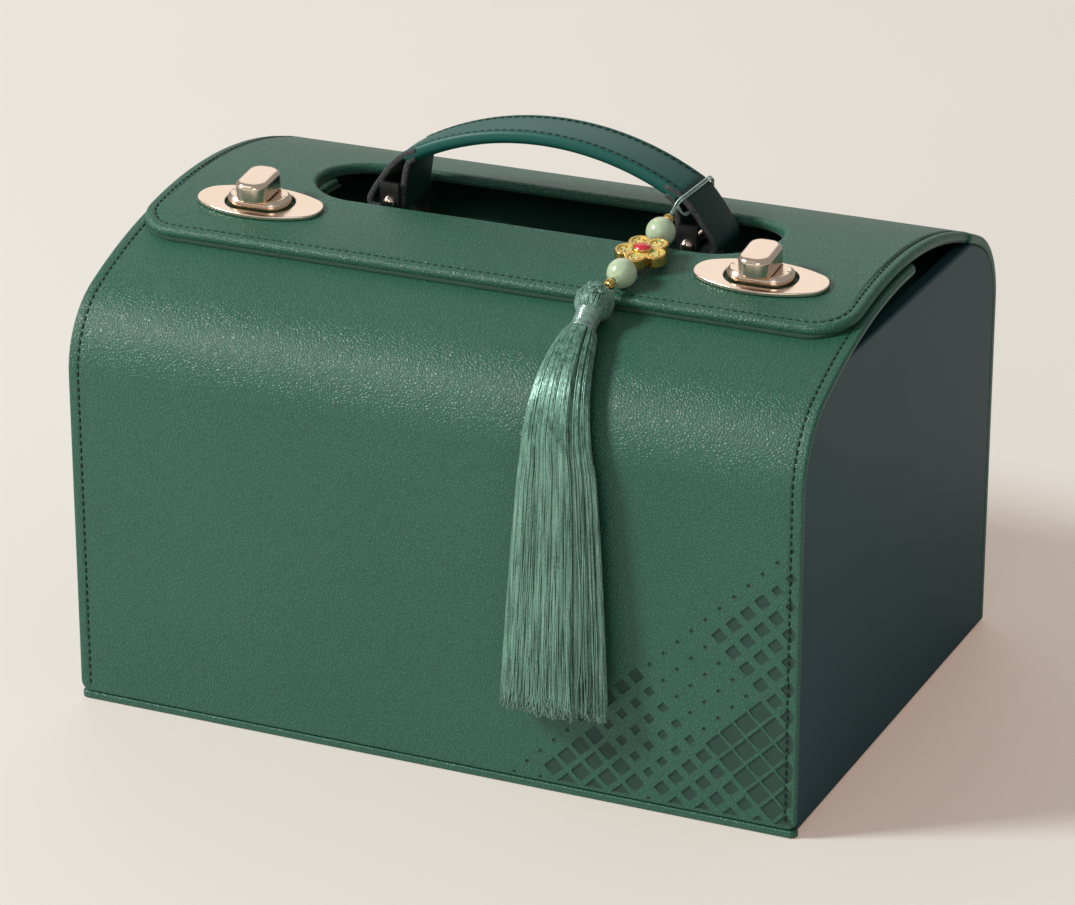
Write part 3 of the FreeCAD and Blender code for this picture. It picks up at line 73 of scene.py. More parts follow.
class Wire:
    """A socket of a material's nodes that takes part in sums as a number does."""

    def __init__(self, socket):
        self.socket = socket

    def node(self, kind, settings=None, inputs=None, output=0):
        """Adds a node beside this one: its settings first, then its sockets' values and links."""
        tree = self.socket.id_data
        made = tree.nodes.new(kind)
        for name, setting in (settings or {}).items():
            setattr(made, name, setting)
        for name, source in (inputs or {}).items():
            if isinstance(source, Wire):
                tree.links.new(source.socket, made.inputs[name])
            else:
                made.inputs[name].default_value = source
        return Wire(made.outputs[output]) if made.outputs else None

    def sum(self, operation, first, second):
        """Adds a Math node for two values, of which one at least is a Wire."""
        return self.node("ShaderNodeMath", {"operation": operation}, {0: first, 1: second})

    def __add__(self, other):
        return self.sum("ADD", self, other)

    def __radd__(self, other):
        return self.sum("ADD", other, self)

    def __sub__(self, other):
        return self.sum("SUBTRACT", self, other)

    def __rsub__(self, other):
        return self.sum("SUBTRACT", other, self)

    def __mul__(self, other):
        return self.sum("MULTIPLY", self, other)

    def __rmul__(self, other):
        return self.sum("MULTIPLY", other, self)

    def blend(self, low, high):
        """A colour that goes from low to high as this goes from 0 to 1."""
        ends = {"A": low, "B": high}
        mix = self.socket.id_data.nodes.new("ShaderNodeMix")
        mix.data_type = "RGBA"
        self.socket.id_data.links.new(self.socket, mix.inputs["Factor"])
        colours = {socket.name: socket for socket in mix.inputs if socket.type == "RGBA"}
        for name, colour in ends.items():
            if isinstance(colour, Wire):
                self.socket.id_data.links.new(colour.socket, colours[name])
            else:
                colours[name].default_value = (*colour, 1.0)
        return Wire(next(socket for socket in mix.outputs if socket.type == "RGBA"))


def new_finish(name):
    """An empty material and the place on the piece, in metres, that its nodes start from."""
    material = bpy.data.materials.new(name)
    material.use_nodes = True
    material.node_tree.nodes.clear()
    place = material.node_tree.nodes.new("ShaderNodeTexCoord")
    return material, Wire(place.outputs["Object"])


def lay_on(place, **sockets):
    """Ends a material with one surface shader whose sockets are named with _ for a space."""
    named = {name.replace("_", " "): value for name, value in sockets.items()}
    surface = place.node("ShaderNodeBsdfPrincipled", None, named)
    place.node("ShaderNodeOutputMaterial", None, {"Surface": surface})


def floor_paint():
    """Pale paint; to the camera alone it is lifted, so that it reads as lit from all round."""
    paint, place = new_finish("floor_paint")
    mottle = place.node("ShaderNodeTexNoise", None, {"Vector": place, "Scale": 3.0, "Detail": 2.0})
    seen = place.node("ShaderNodeLightPath")
    full = mottle.blend((0.755, 0.715, 0.665), (0.785, 0.745, 0.695))
    lifted = mottle.blend((0.47, 0.545, 0.545), (0.49, 0.565, 0.57))
    lay_on(
        place,
        Base_Color=seen.blend(full, lifted),
        Roughness=0.7,
        Specular_IOR_Level=0.2,
        Emission_Color=seen.blend((0.0, 0.0, 0.0), (0.29, 0.18, 0.13)),
        Emission_Strength=1.0,
    )
    return paint


floor_side, floor_parts = 14, 8
bpy.ops.mesh.primitive_grid_add(
    x_subdivisions=floor_parts, y_subdivisions=floor_parts, size=floor_side, location=(0, 3, 0)
)
floor = bpy.context.object
floor.name = "floor"
floor.data.materials.append(floor_paint())

lamps_aim = Vector((0, 0, 0.1))
for name, place, size, power, tint in (
    ("main_lamp", (-3.2, -2.1, 2.9), 1.1, 236, (1.0, 0.965, 0.92)),
    ("front_lamp", (0.2, -2.9, 1.5), 1.6, 12, (0.97, 0.98, 1.0)),
    ("back_lamp", (-1.1, 2.2, 1.9), 2.8, 15, (1.0, 0.97, 0.93)),
):
    lamp = bpy.data.lights.new(name, "AREA")
    lamp.shape = "DISK"
    lamp.size = size
    lamp.energy = power
    lamp.color = tint
    holder = bpy.data.objects.new(name, lamp)
    holder.location = place
    aim = lamps_aim - Vector(place)
    holder.rotation_euler = aim.to_track_quat("-Z", "Y").to_euler()
    holder.visible_camera = False
    bpy.context.scene.collection.objects.link(holder)

sky = bpy.data.worlds.new("sky")
sky.use_nodes = True
bpy.context.scene.world = sky
backdrop = sky.node_tree.nodes["Background"]
backdrop.inputs["Color"].default_value = (0.90, 0.90, 0.88, 1.0)
backdrop.inputs["Strength"].default_value = 0.36

# Base: a thin board wrapped in the same grained leather as the front, with its edge turned under.
# Its front edge shows as a narrow band below the leaf, with a hairline between the two.

MM = 0.001
case_half_wide, case_half_deep = 150, 108
leather_green = (0.024, 0.124, 0.081)
leather_deep = (0.009, 0.066, 0.042)
base_thick, base_round, base_edge = 3.0, 2.6, 0.7
base_lip, base_back, base_inner, base_corner = 104.5, 103.8, 142.3, 0.6


def grained_leather(name, deep, fair, grain=1.2, height=0.0005, sheen=0.5):
    """Stamped cowhide: rounded pebbles with fine creases, and painted shade that darkens the
    creases.
    """
    leather, place = new_finish(name)
    drift = {"Vector": place, "Scale": 260.0, "Detail": 2.0}
    warp = place.node("ShaderNodeTexNoise", None, drift, "Color")
    shift = place.node("ShaderNodeVectorMath", {"operation": "SCALE"}, {0: warp, "Scale": 0.0011})
    wavy = place.node("ShaderNodeVectorMath", {"operation": "ADD"}, {0: place, 1: shift})
    pebble = place.node(
        "ShaderNodeTexVoronoi",
        {"feature": "DISTANCE_TO_EDGE"},
        {"Vector": wavy, "Scale": 1000.0 / grain},
    )
    raised = place.node(
        "ShaderNodeMapRange",
        {"interpolation_type": "SMOOTHERSTEP"},
        {"Value": pebble, "From Min": 0.0, "From Max": 0.34, "To Min": 0.0, "To Max": 1.0},
    )
    fine = place.node("ShaderNodeTexNoise", None, {"Vector": place, "Scale": 2600.0, "Detail": 3.0})
    broad = place.node("ShaderNodeTexNoise", None, {"Vector": place, "Scale": 14.0, "Detail": 3.0})
    relief = raised * 0.8 + fine * 0.25
    # The colour darkens towards each pebble's edge, which is painted shade in the creases, with
    # random tone over it.
    tone = raised * 0.7 + broad * 0.4 + fine * 0.12
    colour = tone.blend(deep, fair)
    roughness = 0.44 - raised * 0.10 + broad * 0.06
    pressed = {"Height": relief, "Strength": 0.40, "Distance": height}
    bump = place.node("ShaderNodeBump", None, pressed)
    lay_on(
        place,
        Base_Color=colour,
        Roughness=roughness,
        Specular_IOR_Level=sheen,
        Normal=bump,
    )
    return leather


def rounded_outline(corners, step=1.2):
    """Points round a plan whose corners are (x, y, radius), anticlockwise."""
    points = []
    count = len(corners)
    for number, (x, y, radius) in enumerate(corners):
        here = np.array((x, y), float)
        before = np.array(corners[number - 1][:2], float) - here
        after = np.array(corners[(number + 1) % count][:2], float) - here
        before /= np.linalg.norm(before)
        after /= np.linalg.norm(after)
        if radius <= 0:
            points.append(here)
            continue
        half = math.acos(np.clip(before @ after, -1, 1)) / 2
        centre = here + (before + after) / np.linalg.norm(before + after) * radius / math.sin(half)
        start = here + before * radius / math.tan(half) - centre
        leftward = before[0] * after[1] - before[1] * after[0] < 0
        turn = (math.pi - 2 * half) * (1 if leftward else -1)
        steps = max(3, int(abs(turn) * radius / step) + 2)
        for share in np.linspace(0, 1, steps):
            c, s = math.cos(turn * share), math.sin(turn * share)
            arm = np.array((c * start[0] - s * start[1], s * start[0] + c * start[1]))
            points.append(centre + arm)
    return np.array(points)


def rounded_box(half_wide, low, high, radius, step=1.2):
    """Points round an upright plan with four like corners, anticlockwise."""
    corners = ((-half_wide, low), (half_wide, low), (half_wide, high), (-half_wide, high))
    return rounded_outline([(*corner, radius) for corner in corners], step)


def inset_ring(points, distance):
    """A closed outline moved to its left, which for an anticlockwise one is inwards."""
    before = points - np.roll(points, 1, axis=0)
    after = np.roll(points, -1, axis=0) - points
    before /= np.linalg.norm(before, axis=1)[:, None]
    after /= np.linalg.norm(after, axis=1)[:, None]
    left = np.stack((-(before + after)[:, 1], (before + after)[:, 0]), axis=1)
    left /= np.linalg.norm(left, axis=1)[:, None]
    sharpest = 0.3
    square = np.abs(left[:, 0] * -after[:, 1] + left[:, 1] * after[:, 0])
    return points + left * (distance * (1 / np.maximum(sharpest, square)))[:, None]


def covered_board(
    outline, holes, thick, edge, groove=None, steps=4, pressed=(), press=0.45, under=None
):
    """A flat leather-covered board: rounded edges all round, and a stitching groove on request.

    The groove is (distance in, half width, depth) and follows the outer edge on the upper face.
    Holes are clockwise outlines, and pressed shapes, clockwise too, are sunk into the upper face.
    The lower face is at height 0, and pressed faces take the second material. The edge's radius is
    smaller below where under says so. Returns a bmesh in mm.
    """
    board = bmesh.new()
    under = under or edge
    upper, lower = [], []

    def joined_down(rings):
        """Closes rings of points, from the top down, into a wall of faces, and gives the faces."""
        made = []
        for one, two in zip(rings, rings[1:]):
            for place in range(len(one)):
                after = (place + 1) % len(one)
                made.append(board.faces.new((one[place], two[place], two[after], one[after])))
        return made

    for number, points in enumerate([outline, *holes]):
        section = []
        if groove and number == 0:
            far, half, deep = groove
            hollow = (
                (1.9, 0.0), (1.0, 0.12), (0.45, 0.75), (0.0, 1.0), (-0.45, 0.75), (-1.0, 0.12)
            )
            for share, drop in hollow:
                section.append((far + half * share, thick - deep * drop))
        for angle in np.linspace(0, math.pi / 2, steps + 1):
            section.append((edge * (1 - math.sin(angle)), thick - edge * (1 - math.cos(angle))))
        for angle in np.linspace(math.pi / 2, 0, steps + 1):
            section.append((under * (1 - math.sin(angle)), under * (1 - math.cos(angle))))
        if thick - edge - under < 1e-6:
            section.pop(-steps - 1)
        rings = []
        for inset, height in section:
            ring = inset_ring(points, inset)
            rings.append([board.verts.new((x, y, height)) for x, y in ring])
        joined_down(rings)
        count = len(points)
        for ring, edges in ((rings[0], upper), (rings[-1], lower)):
            for place in range(count):
                pair = (ring[place], ring[(place + 1) % count])
                edges.append(board.edges.get(pair) or board.edges.new(pair))
    for points in pressed:
        rings = []
        for inset, drop in ((0.0, 0.0), (-0.14, 0.1), (-0.26, press * 0.75), (-0.42, press)):
            ring = inset_ring(points, inset)
            rings.append([board.verts.new((x, y, thick - drop)) for x, y in ring])
        for face in joined_down(rings):
            face.material_index = 1
        board.faces.new(rings[-1]).material_index = 1
        for place in range(len(points)):
            pair = (rings[0][place], rings[0][(place + 1) % len(points)])
            upper.append(board.edges.get(pair))
    bmesh.ops.triangle_fill(board, use_beauty=True, edges=upper, normal=(0, 0, 1))
    bmesh.ops.triangle_fill(board, use_beauty=True, edges=lower, normal=(0, 0, -1))
    bmesh.ops.recalc_face_normals(board, faces=board.faces)
    return board


def cut_lines(board, axis, places):
    """Adds edge lines straight across a board, where it will bend or be pressed in."""
    direction = Vector([float(number == axis) for number in range(3)])
    for place in places:
        geometry = board.verts[:] + board.edges[:] + board.faces[:]
        bmesh.ops.bisect_plane(
            board, geom=geometry, dist=1e-5, plane_co=direction * float(place), plane_no=direction
        )


def make_piece(name, board, bend, finish, body, slot, *nodes):
    """Makes a piece of a bmesh, or of points and faces, in mm: bent, covered and set on its body.

    Without a bend the points stay where they are. Without a body the piece is left unattached.
    The nodes are the solids that it takes the place of.
    """
    mesh = bpy.data.meshes.new(name)
    if isinstance(board, tuple):
        points, faces = board
        placed = np.array([bend(*point) for point in points]) if bend else np.asarray(points)
        mesh.from_pydata((placed * MM).tolist(), [], [tuple(map(int, face)) for face in faces])
    else:
        for vertex in board.verts:
            vertex.co = Vector(bend(*vertex.co)) * MM
        bmesh.ops.recalc_face_normals(board, faces=board.faces)
        board.to_mesh(mesh)
        board.free()
    mesh.shade_smooth()
    piece = bpy.data.objects.new(name, mesh)
    bpy.context.scene.collection.objects.link(piece)
    mesh.materials.append(finish)
    if body:
        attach(piece, body)
    if nodes:
        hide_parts(*nodes)
    return piece


def as_drawn(*place):
    """The bend of a shape that is drawn where it stands."""
    return place


def level_normals(piece):
    """Keeps broad flat faces flat in the light beside narrow rounded edges."""
    weigh = piece.modifiers.new("level_normals", "WEIGHTED_NORMAL")
    weigh.keep_sharp = False
    weigh.weight = 80


pebbled = grained_leather("pebbled_leather", leather_deep, leather_green)
base_plan = rounded_outline(
    [
        (-case_half_wide, -case_half_deep, base_round),
        (case_half_wide, -case_half_deep, base_round),
        (case_half_wide, -base_lip, base_corner),
        (base_inner, -base_lip, 0),
        (base_inner, base_back, base_corner),
        (-base_inner, base_back, base_corner),
        (-base_inner, -base_lip, 0),
        (-case_half_wide, -base_lip, base_corner),
    ]
)
base = make_piece(
    "base_leather",
    covered_board(base_plan, [], base_thick, base_edge),
    as_drawn,
    pebbled,
    "carcass",
    "case_leather",
    "base_board",
)
level_normals(base)

# Side panels: boards covered in smooth slate-green leather, cut to the curve of the leaf in front
# and of the back behind, with a flat top edge that stays below the lid. The leather's edge is
# turned over the board's.

slate_deep = (0.010, 0.043, 0.054)
slate_fair = (0.016, 0.058, 0.070)
corner_round, leaf_dome, lid_radius, dome_centre = 35, 210, 214.4, -24
behind_leaf, back_thick, side_low = 3.7, 4, 0.4
side_inside, side_thick, side_edge = 142.5, 6.0, 1.2
side_top, side_top_front, side_top_back = 173.0, -59.8, 73.9


def dome_line(side, depth, corner, dome, centre, low):
    """The case's curve as a function of the way along it and the distance out from it, in mm."""
    turn = depth - corner
    height = centre + math.sqrt((dome - corner) ** 2 - turn ** 2)
    lean = math.asin(turn / (dome - corner))
    rise = height - low
    bend_long = corner * (math.pi / 2 - lean)

    def place(along, out):
        """The (y, z) of a point: up the straight, round the corner, then over the dome."""
        if along < rise:
            return side * (depth + out), low + along
        if along < rise + bend_long:
            angle, reach = (along - rise) / corner, corner + out
            return side * (turn + reach * math.cos(angle)), height + reach * math.sin(angle)
        angle, reach = lean - (along - rise - bend_long) / dome, dome + out
        return side * reach * math.sin(angle), centre + reach * math.cos(angle)

    def along_at(y):
        """How far along the dome a point with this y lies."""
        return rise + bend_long + dome * (lean - math.asin(side * y / dome))

    return place, along_at, rise


def smooth_leather(name, deep, fair, roughness=0.46, shine=0.42):
    """Plain smooth leather: faint pores, a soft sheen and a little cloudiness in its colour."""
    leather, place = new_finish(name)
    cloud = place.node("ShaderNodeTexNoise", None, {"Vector": place, "Scale": 9.0, "Detail": 4.0})
    pore = place.node("ShaderNodeTexVoronoi", None, {"Vector": place, "Scale": 1700.0})
    fine = place.node("ShaderNodeTexNoise", None, {"Vector": place, "Scale": 900.0, "Detail": 4.0})
    tone = cloud * 0.8 + fine * 0.3 - 0.05
    relief = pore * 0.5 + fine * 0.6
    bump = place.node(
        "ShaderNodeBump", None, {"Height": relief, "Strength": 0.28, "Distance": 0.00008}
    )
    lay_on(
        place,
        Base_Color=tone.blend(deep, fair),
        Roughness=roughness + cloud * 0.10,
        Specular_IOR_Level=shine,
        Normal=bump,
    )
    return leather


slate = smooth_leather("slate_leather", slate_deep, slate_fair, 0.50, 0.30)
front_curve, back_curve = (
    dome_line(
        side, case_half_deep - inside, corner_round - inside, dome - inside, dome_centre, side_low
    )
    for side, dome, inside in ((-1, leaf_dome, behind_leaf), (1, lid_radius, back_thick))
)


def curve_points(curve, top, step=2.0):
    """Points up a curve from the base to where it reaches the height top."""
    place, _, rise = curve
    points = [place(0, 0)]
    along = rise
    while place(along, 0)[1] < top - 0.2:
        points.append(place(along, 0))
        along += step
    return points


side_plan = np.array(
    [
        *curve_points(back_curve, side_top),
        (side_top_back, side_top),
        (side_top_front, side_top),
        *curve_points(front_curve, side_top)[::-1],
    ]
)
for side, sign in (("left", -1), ("right", 1)):
    panel = make_piece(
        f"side_leather_{side}",
        covered_board(side_plan, [], side_thick, side_edge),
        lambda y, z, out, sign=sign: (sign * (side_inside + out), y, z),
        slate,
        "carcass",
        "side_leather",
        f"side_panel_{side}",
    )
    level_normals(panel)

# Back: one bent board in grained leather, from the base up to the fold that the lid turns on. It
# stands straight, goes round the rear corner and comes a short way forward on the lid's own curve.

bend_step, seam_y = 1.6, 73.5
back_half, back_corner, back_edge = 148.5, 1, 1.2
place_back, along_back, back_rise = dome_line(
    1, case_half_deep, corner_round, lid_radius, dome_centre, side_low
)
back_long = along_back(seam_y)
back_plan = rounded_box(back_half, 0, back_long, back_corner)
back_board = covered_board(back_plan, [], back_thick, back_edge)
cut_lines(back_board, 1, np.arange(back_rise, back_long, bend_step))
back = make_piece(
    "back_leather",
    back_board,
    lambda x, along, out: (x, *place_back(along, out - back_thick)),
    pebbled,
    "carcass",
    "case_leather",
    "back_panel",
)
level_normals(back)

# Front leaf: one bent board in grained leather that runs from the base up the front, round the
# corner and back under the lid in two wings. It is stitched down both sides, and a lattice of
# squares is hot-pressed into its lower right corner.

leaf_thick, leaf_edge, leaf_low = 2.7, 1.15, 3.2
wing_back, notch_back, notch_half = 12, -21, 93
leaf_corner, wing_corner, notch_corner, notch_mouth = 4, 9, 8, 3
lock_across, slot_front, slot_back, slot_wide = 104, -44.5, -4.5, 6.6
stitch_in, groove_half, groove_deep = 4.4, 0.9, 0.3
place_leaf, along_leaf, leaf_rise = dome_line(
    -1, case_half_deep, corner_round, leaf_dome, dome_centre, leaf_low
)
leaf_end, notch_start = along_leaf(wing_back), along_leaf(notch_back)


def slot_outline(x, low, high, width):
    """A clockwise outline of an upright slot with round ends."""
    half = width / 2
    corners = [(x - half, low), (x + half, low), (x + half, high), (x - half, high)]
    return rounded_outline([(*corner, half * 0.999) for corner in corners])[::-1]


def clip(points, keep):
    """Cuts a shape off along a line; keep says how far inside the line a point is."""
    kept = []
    for one, two in zip(points, np.roll(points, -1, axis=0)):
        inside_one, inside_two = keep(one), keep(two)
        if inside_one > 0:
            kept.append(one)
        if inside_one * inside_two < 0:
            kept.append(one + (two - one) * inside_one / (inside_one - inside_two))
    return np.array(kept)


def pressed_lattice():
    """Squares that stand on their corners, in blocks of four by four of one size each."""
    pitch, first_x, first_along = 5.48, 118.9, 73.0
    right_end, low_end, least = case_half_wide - 1.5, 1.6, 0.9
    halves = {"broad": 4.85, "wide": 4.15, "middle": 3.4, "small": 2.4, "dot": 1.15}
    blocks = {
        -1: {1: "dot", 0: "dot", -1: "dot", -2: "middle", -3: "dot", -4: "dot"},
        0: {1: "small", 0: "middle", -1: "dot", -2: "small", -3: "wide", -4: "dot"},
        1: {0: "middle", -1: "broad", -2: "middle", -3: "dot"},
        2: {-1: "broad", -2: "small", -3: "dot"},
    }
    shapes = []
    for row in range(12):
        for step in range(-16, 7):
            half = halves.get(blocks[(row - 1) // 4].get(step // 4))
            x = first_x + pitch * (step + row - 1)
            along = first_along + pitch * (step - row + 1)
            if half is None or x > case_half_wide or along < 0:
                continue
            corners = ((-half, 0), (0, half), (half, 0), (0, -half))
            shape = np.array([(x + aside, along + ahead) for aside, ahead in corners])
            shape = clip(shape, lambda point: right_end - point[0])
            if len(shape) > 2:
                shape = clip(shape, lambda point: point[1] - low_end)
            if len(shape) > 2 and min(np.ptp(shape, axis=0)) > least:
                shapes.append(shape)
    return shapes


leaf_plan = rounded_outline(
    [
        (-case_half_wide, 0, leaf_corner),
        (case_half_wide, 0, leaf_corner),
        (case_half_wide, leaf_end, wing_corner),
        (notch_half, leaf_end, notch_mouth),
        (notch_half, notch_start, notch_corner),
        (-notch_half, notch_start, notch_corner),
        (-notch_half, leaf_end, notch_mouth),
        (-case_half_wide, leaf_end, wing_corner),
    ]
)
keeper_slots = [
    slot_outline(x, along_leaf(slot_front), along_leaf(slot_back), slot_wide)
    for x in (-lock_across, lock_across)
]
lattice = pressed_lattice()
leaf_board = covered_board(leaf_plan, keeper_slots, leaf_thick, leaf_edge, pressed=lattice)
groove_lines = [stitch_in + offset for offset in (-groove_half, -0.5, 0.0, 0.5, groove_half)]
groove_lines = [sign * (case_half_wide - inset) for sign in (-1, 1) for inset in groove_lines]
cut_lines(leaf_board, 0, groove_lines)
cut_lines(leaf_board, 1, np.arange(leaf_rise, leaf_end, bend_step))


def bend_leaf(x, along, out):
    """Presses in the stitching lines, then bends the board round the case."""
    if out > leaf_thick - 0.05:
        away = abs(case_half_wide - stitch_in - abs(x)) / groove_half
        out -= groove_deep * max(0.0, 1 - away * away)
    return (x, *place_leaf(along, out - leaf_thick))


leaf = make_piece(
    "leaf_leather",
    leaf_board,
    bend_leaf,
    pebbled,
    "front_leaf",
    "case_leather",
    "front_leaf",
    "leaf_wings",
)
pressed_deep, pressed_fair = (0.010, 0.040, 0.029), (0.018, 0.060, 0.044)
pressed_leather = smooth_leather("pressed_leather", pressed_deep, pressed_fair, 0.62)
leaf.data.materials.append(pressed_leather)
level_normals(leaf)

# Stitching: waxed linen thread in near-black green, one lockstitch every 3.1 mm. Each stitch rises
# out of its hole, lies in the pressed groove and dips into the next hole.

thread_pitch, hole_deep, thread_sides = 3.1, 0.28, 6


def waxed_thread():
    """Waxed linen: dull, nearly black, with the twist of its strands just showing."""
    thread, place = new_finish("waxed_thread")
    strand = place.node(
        "ShaderNodeTexNoise", None, {"Vector": place, "Scale": 3000.0, "Detail": 2.0}
    )
    bump = place.node(
        "ShaderNodeBump", None, {"Height": strand, "Strength": 0.5, "Distance": 0.0001}
    )
    lay_on(
        place,
        Base_Color=strand.blend((0.006, 0.016, 0.013), (0.014, 0.036, 0.028)),
        Roughness=0.5,
        Specular_IOR_Level=0.25,
        Normal=bump,
    )
    return thread


linen = waxed_thread()


def joined(shape, rings):
    """Closes rings of points, one after the other, into a wall of faces, and gives the faces."""
    made = []
    for one, two in zip(rings, rings[1:]):
        for place in range(len(one)):
            after = (place + 1) % len(one)
            made.append(shape.faces.new((one[place], one[after], two[after], two[place])))
    return made


def stitch_row(name, way, body, slot):
    """A row of stitches; way gives each one's middle, its direction and what is up, in mm."""
    row = bmesh.new()
    # How far along the stitch, how high and how thick the thread is, from hole to hole.
    stations = (
        (-1.18, -0.42, 0.20),
        (-0.98, -0.05, 0.34),
        (-0.5, 0.14, 0.41),
        (0.5, 0.14, 0.41),
        (0.98, -0.05, 0.34),
        (1.18, -0.42, 0.20),
    )
    turns = [math.tau * number / thread_sides for number in range(thread_sides)]
    for middle, along, up in way:
        side = along.cross(up)
        rings = []
        for far, lift, radius in stations:
            heart = middle + along * far + up * lift
            ring = [
                heart + side * (radius * math.cos(turn)) + up * (radius * math.sin(turn))
                for turn in turns
            ]
            rings.append([row.verts.new(point) for point in ring])
        joined(row, rings)
        row.faces.new(rings[0][::-1])
        row.faces.new(rings[-1])
    return make_piece(name, row, as_drawn, linen, body, slot)


def spaced(points, pitch):
    """Places every pitch along a line of points, each with its direction."""
    near = 0.2
    points = np.asarray(points, float)
    steps = np.linalg.norm(np.diff(points, axis=0), axis=1)
    along = np.concatenate(((0,), np.cumsum(steps)))
    places = np.linspace(pitch / 2, along[-1] - pitch / 2, max(2, int(along[-1] / pitch)))

    def at(lengths):
        """The points that lie these lengths along the line."""
        return np.stack([np.interp(lengths, along, column) for column in points.T], axis=1)

    ahead = at(places + near) - at(places - near)
    return [(point, way / np.linalg.norm(way)) for point, way in zip(at(places), ahead)]


def stitches_on(bend, line, depth):
    """Stitches along a line drawn on the flat board, carried round by the board's own bend."""
    way, near = [], 0.2
    for (x, along), (dx, dalong) in spaced(line, thread_pitch):
        middle = Vector(bend(x, along, depth))
        ahead = Vector(bend(x + dx * near, along + dalong * near, depth)) - middle
        up = Vector(bend(x, along, depth + near)) - middle
        way.append((middle, ahead.normalized(), up.normalized()))
    return way


def unpressed_leaf(x, along, out):
    """The leaf's bend without the stitching groove."""
    return (x, *place_leaf(along, out - leaf_thick))


row_start, row_stop = 3.0, leaf_end - 8
leaf_rows = []
for x in (stitch_in - case_half_wide, case_half_wide - stitch_in):
    line = [(x, row_start), (x, row_stop)]
    leaf_rows += stitches_on(unpressed_leaf, line, leaf_thick - hole_deep)
stitch_row("leaf_stitching", leaf_rows, "front_leaf", "case_leather")

# Lid: a domed board covered in grained leather with the handle's slot through it, lined with
# suede-finish cloth and joined to the back along a leather fold. It is stitched along its front
# and sides, where the thread is pulled tight in front; behind, the fold takes the stitches' place.

lid_thick, lid_half, lid_edge, lid_under = 3.2, 147.5, 2.1, 0.4
lid_front_y, lid_back_y, lid_corner, lid_back_corner = -61, 73.3, 17, 1.5
hand_half, hand_front, hand_back, hand_corner = 96, -20, 27, 23.4
lid_stitch_in, stitches_end, tight = 4.1, 66, 0.2


def lid_along(y):
    """How far along the lid's curve, from its crown, a place at this depth lies."""
    return lid_radius * math.asin(y / lid_radius)


def bend_lid(x, along, out):
    """Bends the flat board to the lid's dome; out is counted from the board's lower face."""
    angle = along / lid_radius
    reach = lid_radius + out - lid_thick
    return x, reach * math.sin(angle), reach * math.cos(angle) + dome_centre


lid_front, lid_back = lid_along(lid_front_y), lid_along(lid_back_y)
lid_plan = rounded_outline(
    [
        (-lid_half, lid_front, lid_corner),
        (lid_half, lid_front, lid_corner),
        (lid_half, lid_back, lid_back_corner),
        (-lid_half, lid_back, lid_back_corner),
    ]
)
hand_plan = rounded_box(hand_half, lid_along(hand_front), lid_along(hand_back), hand_corner)
lid_board = covered_board(
    lid_plan,
    [hand_plan[::-1]],
    lid_thick,
    lid_edge,
    groove=(lid_stitch_in, groove_half, groove_deep),
    steps=6,
    under=lid_under,
)
cut_lines(lid_board, 1, np.arange(lid_front + bend_step, lid_back, bend_step))
lid = make_piece("lid_leather", lid_board, bend_lid, pebbled, "lid", "case_leather", "lid_board")
level_normals(lid)
lid_line = inset_ring(lid_plan, lid_stitch_in)
lid_rows = stitches_on(bend_lid, [*lid_line, lid_line[0]], lid_thick - hole_deep)
front_row = bend_lid(0, lid_front + 6, 0)[1]
lid_rows = [
    (middle - up * (tight if middle.y < front_row else 0), ahead, up)
    for middle, ahead, up in lid_rows
    if middle.y < stitches_end
]
stitch_row("lid_stitching", lid_rows, "lid", "case_leather")

# Fold: the leather of lid and back is one skin, so a strip of it bends where the two boards meet.
# It bridges the seam between them and is turned down at both ends as the boards' edges are.

fold_half, fold_reach, fold_rise, fold_proud = lid_half, 7.0, 0.25, 0.02


def bend_fold(x, along, out):
    """Lays the strip over the seam, just proud of both boards."""
    angle = (lid_along(seam_y) + along) / lid_radius
    reach = lid_radius + fold_proud + out + fold_rise * (1 - (along / fold_reach) ** 2)
    return x, reach * math.sin(angle), reach * math.cos(angle) + dome_centre


fold_end = [
    (fold_half - lid_edge + 2.12 * math.sin(a), lid_edge * math.cos(a) - lid_edge)
    for a in np.linspace(0, math.pi / 2, 9)
]
fold_end.append((fold_half + fold_proud, 0.3 - lid_thick))
fold_section = [(-x, out) for x, out in fold_end[::-1]]
fold_section += [(x, 0.0) for x in np.linspace(-145, 145, 59)] + fold_end
fold_board = bmesh.new()
fold_rows = []
for along in np.linspace(-fold_reach, fold_reach, 29):
    fold_rows.append([fold_board.verts.new((x, along, out)) for x, out in fold_section])
for one, two in zip(fold_rows, fold_rows[1:]):
    for place in range(len(one) - 1):
        fold_board.faces.new((one[place], one[place + 1], two[place + 1], two[place]))
fold = make_piece("fold_leather", fold_board, bend_fold, pebbled, None, "case_leather")
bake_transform(fold)

# Inside: the boards that carry the drawers and the handle are wrapped in dark green bonded leather,
# and lid and leaf are lined with suede cloth. Their shapes are plain boards, so the solids stay.


def suede_cloth(name, deep, fair):
    """Brushed cloth: a short nap that lies in patches, with a soft edge light."""
    cloth, place = new_finish(name)
    patch = place.node("ShaderNodeTexNoise", None, {"Vector": place, "Scale": 32.0, "Detail": 5.0})
    nap = place.node("ShaderNodeTexNoise", None, {"Vector": place, "Scale": 2400.0, "Detail": 2.0})
    tone = patch * 0.8 + nap * 0.5 - 0.15
    bump = place.node("ShaderNodeBump", None, {"Height": nap, "Strength": 0.4, "Distance": 0.0002})
    lay_on(
        place,
        Base_Color=tone.blend(deep, fair),
        Roughness=0.92,
        Specular_IOR_Level=0.2,
        Sheen_Weight=0.35,
        Sheen_Roughness=0.4,
        Normal=bump,
    )
    return cloth


def finish_nodes(finish, *names):
    """Gives solids that stay a better finish."""
    for name in names:
        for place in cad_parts[name].material_slots:
            place.material = finish


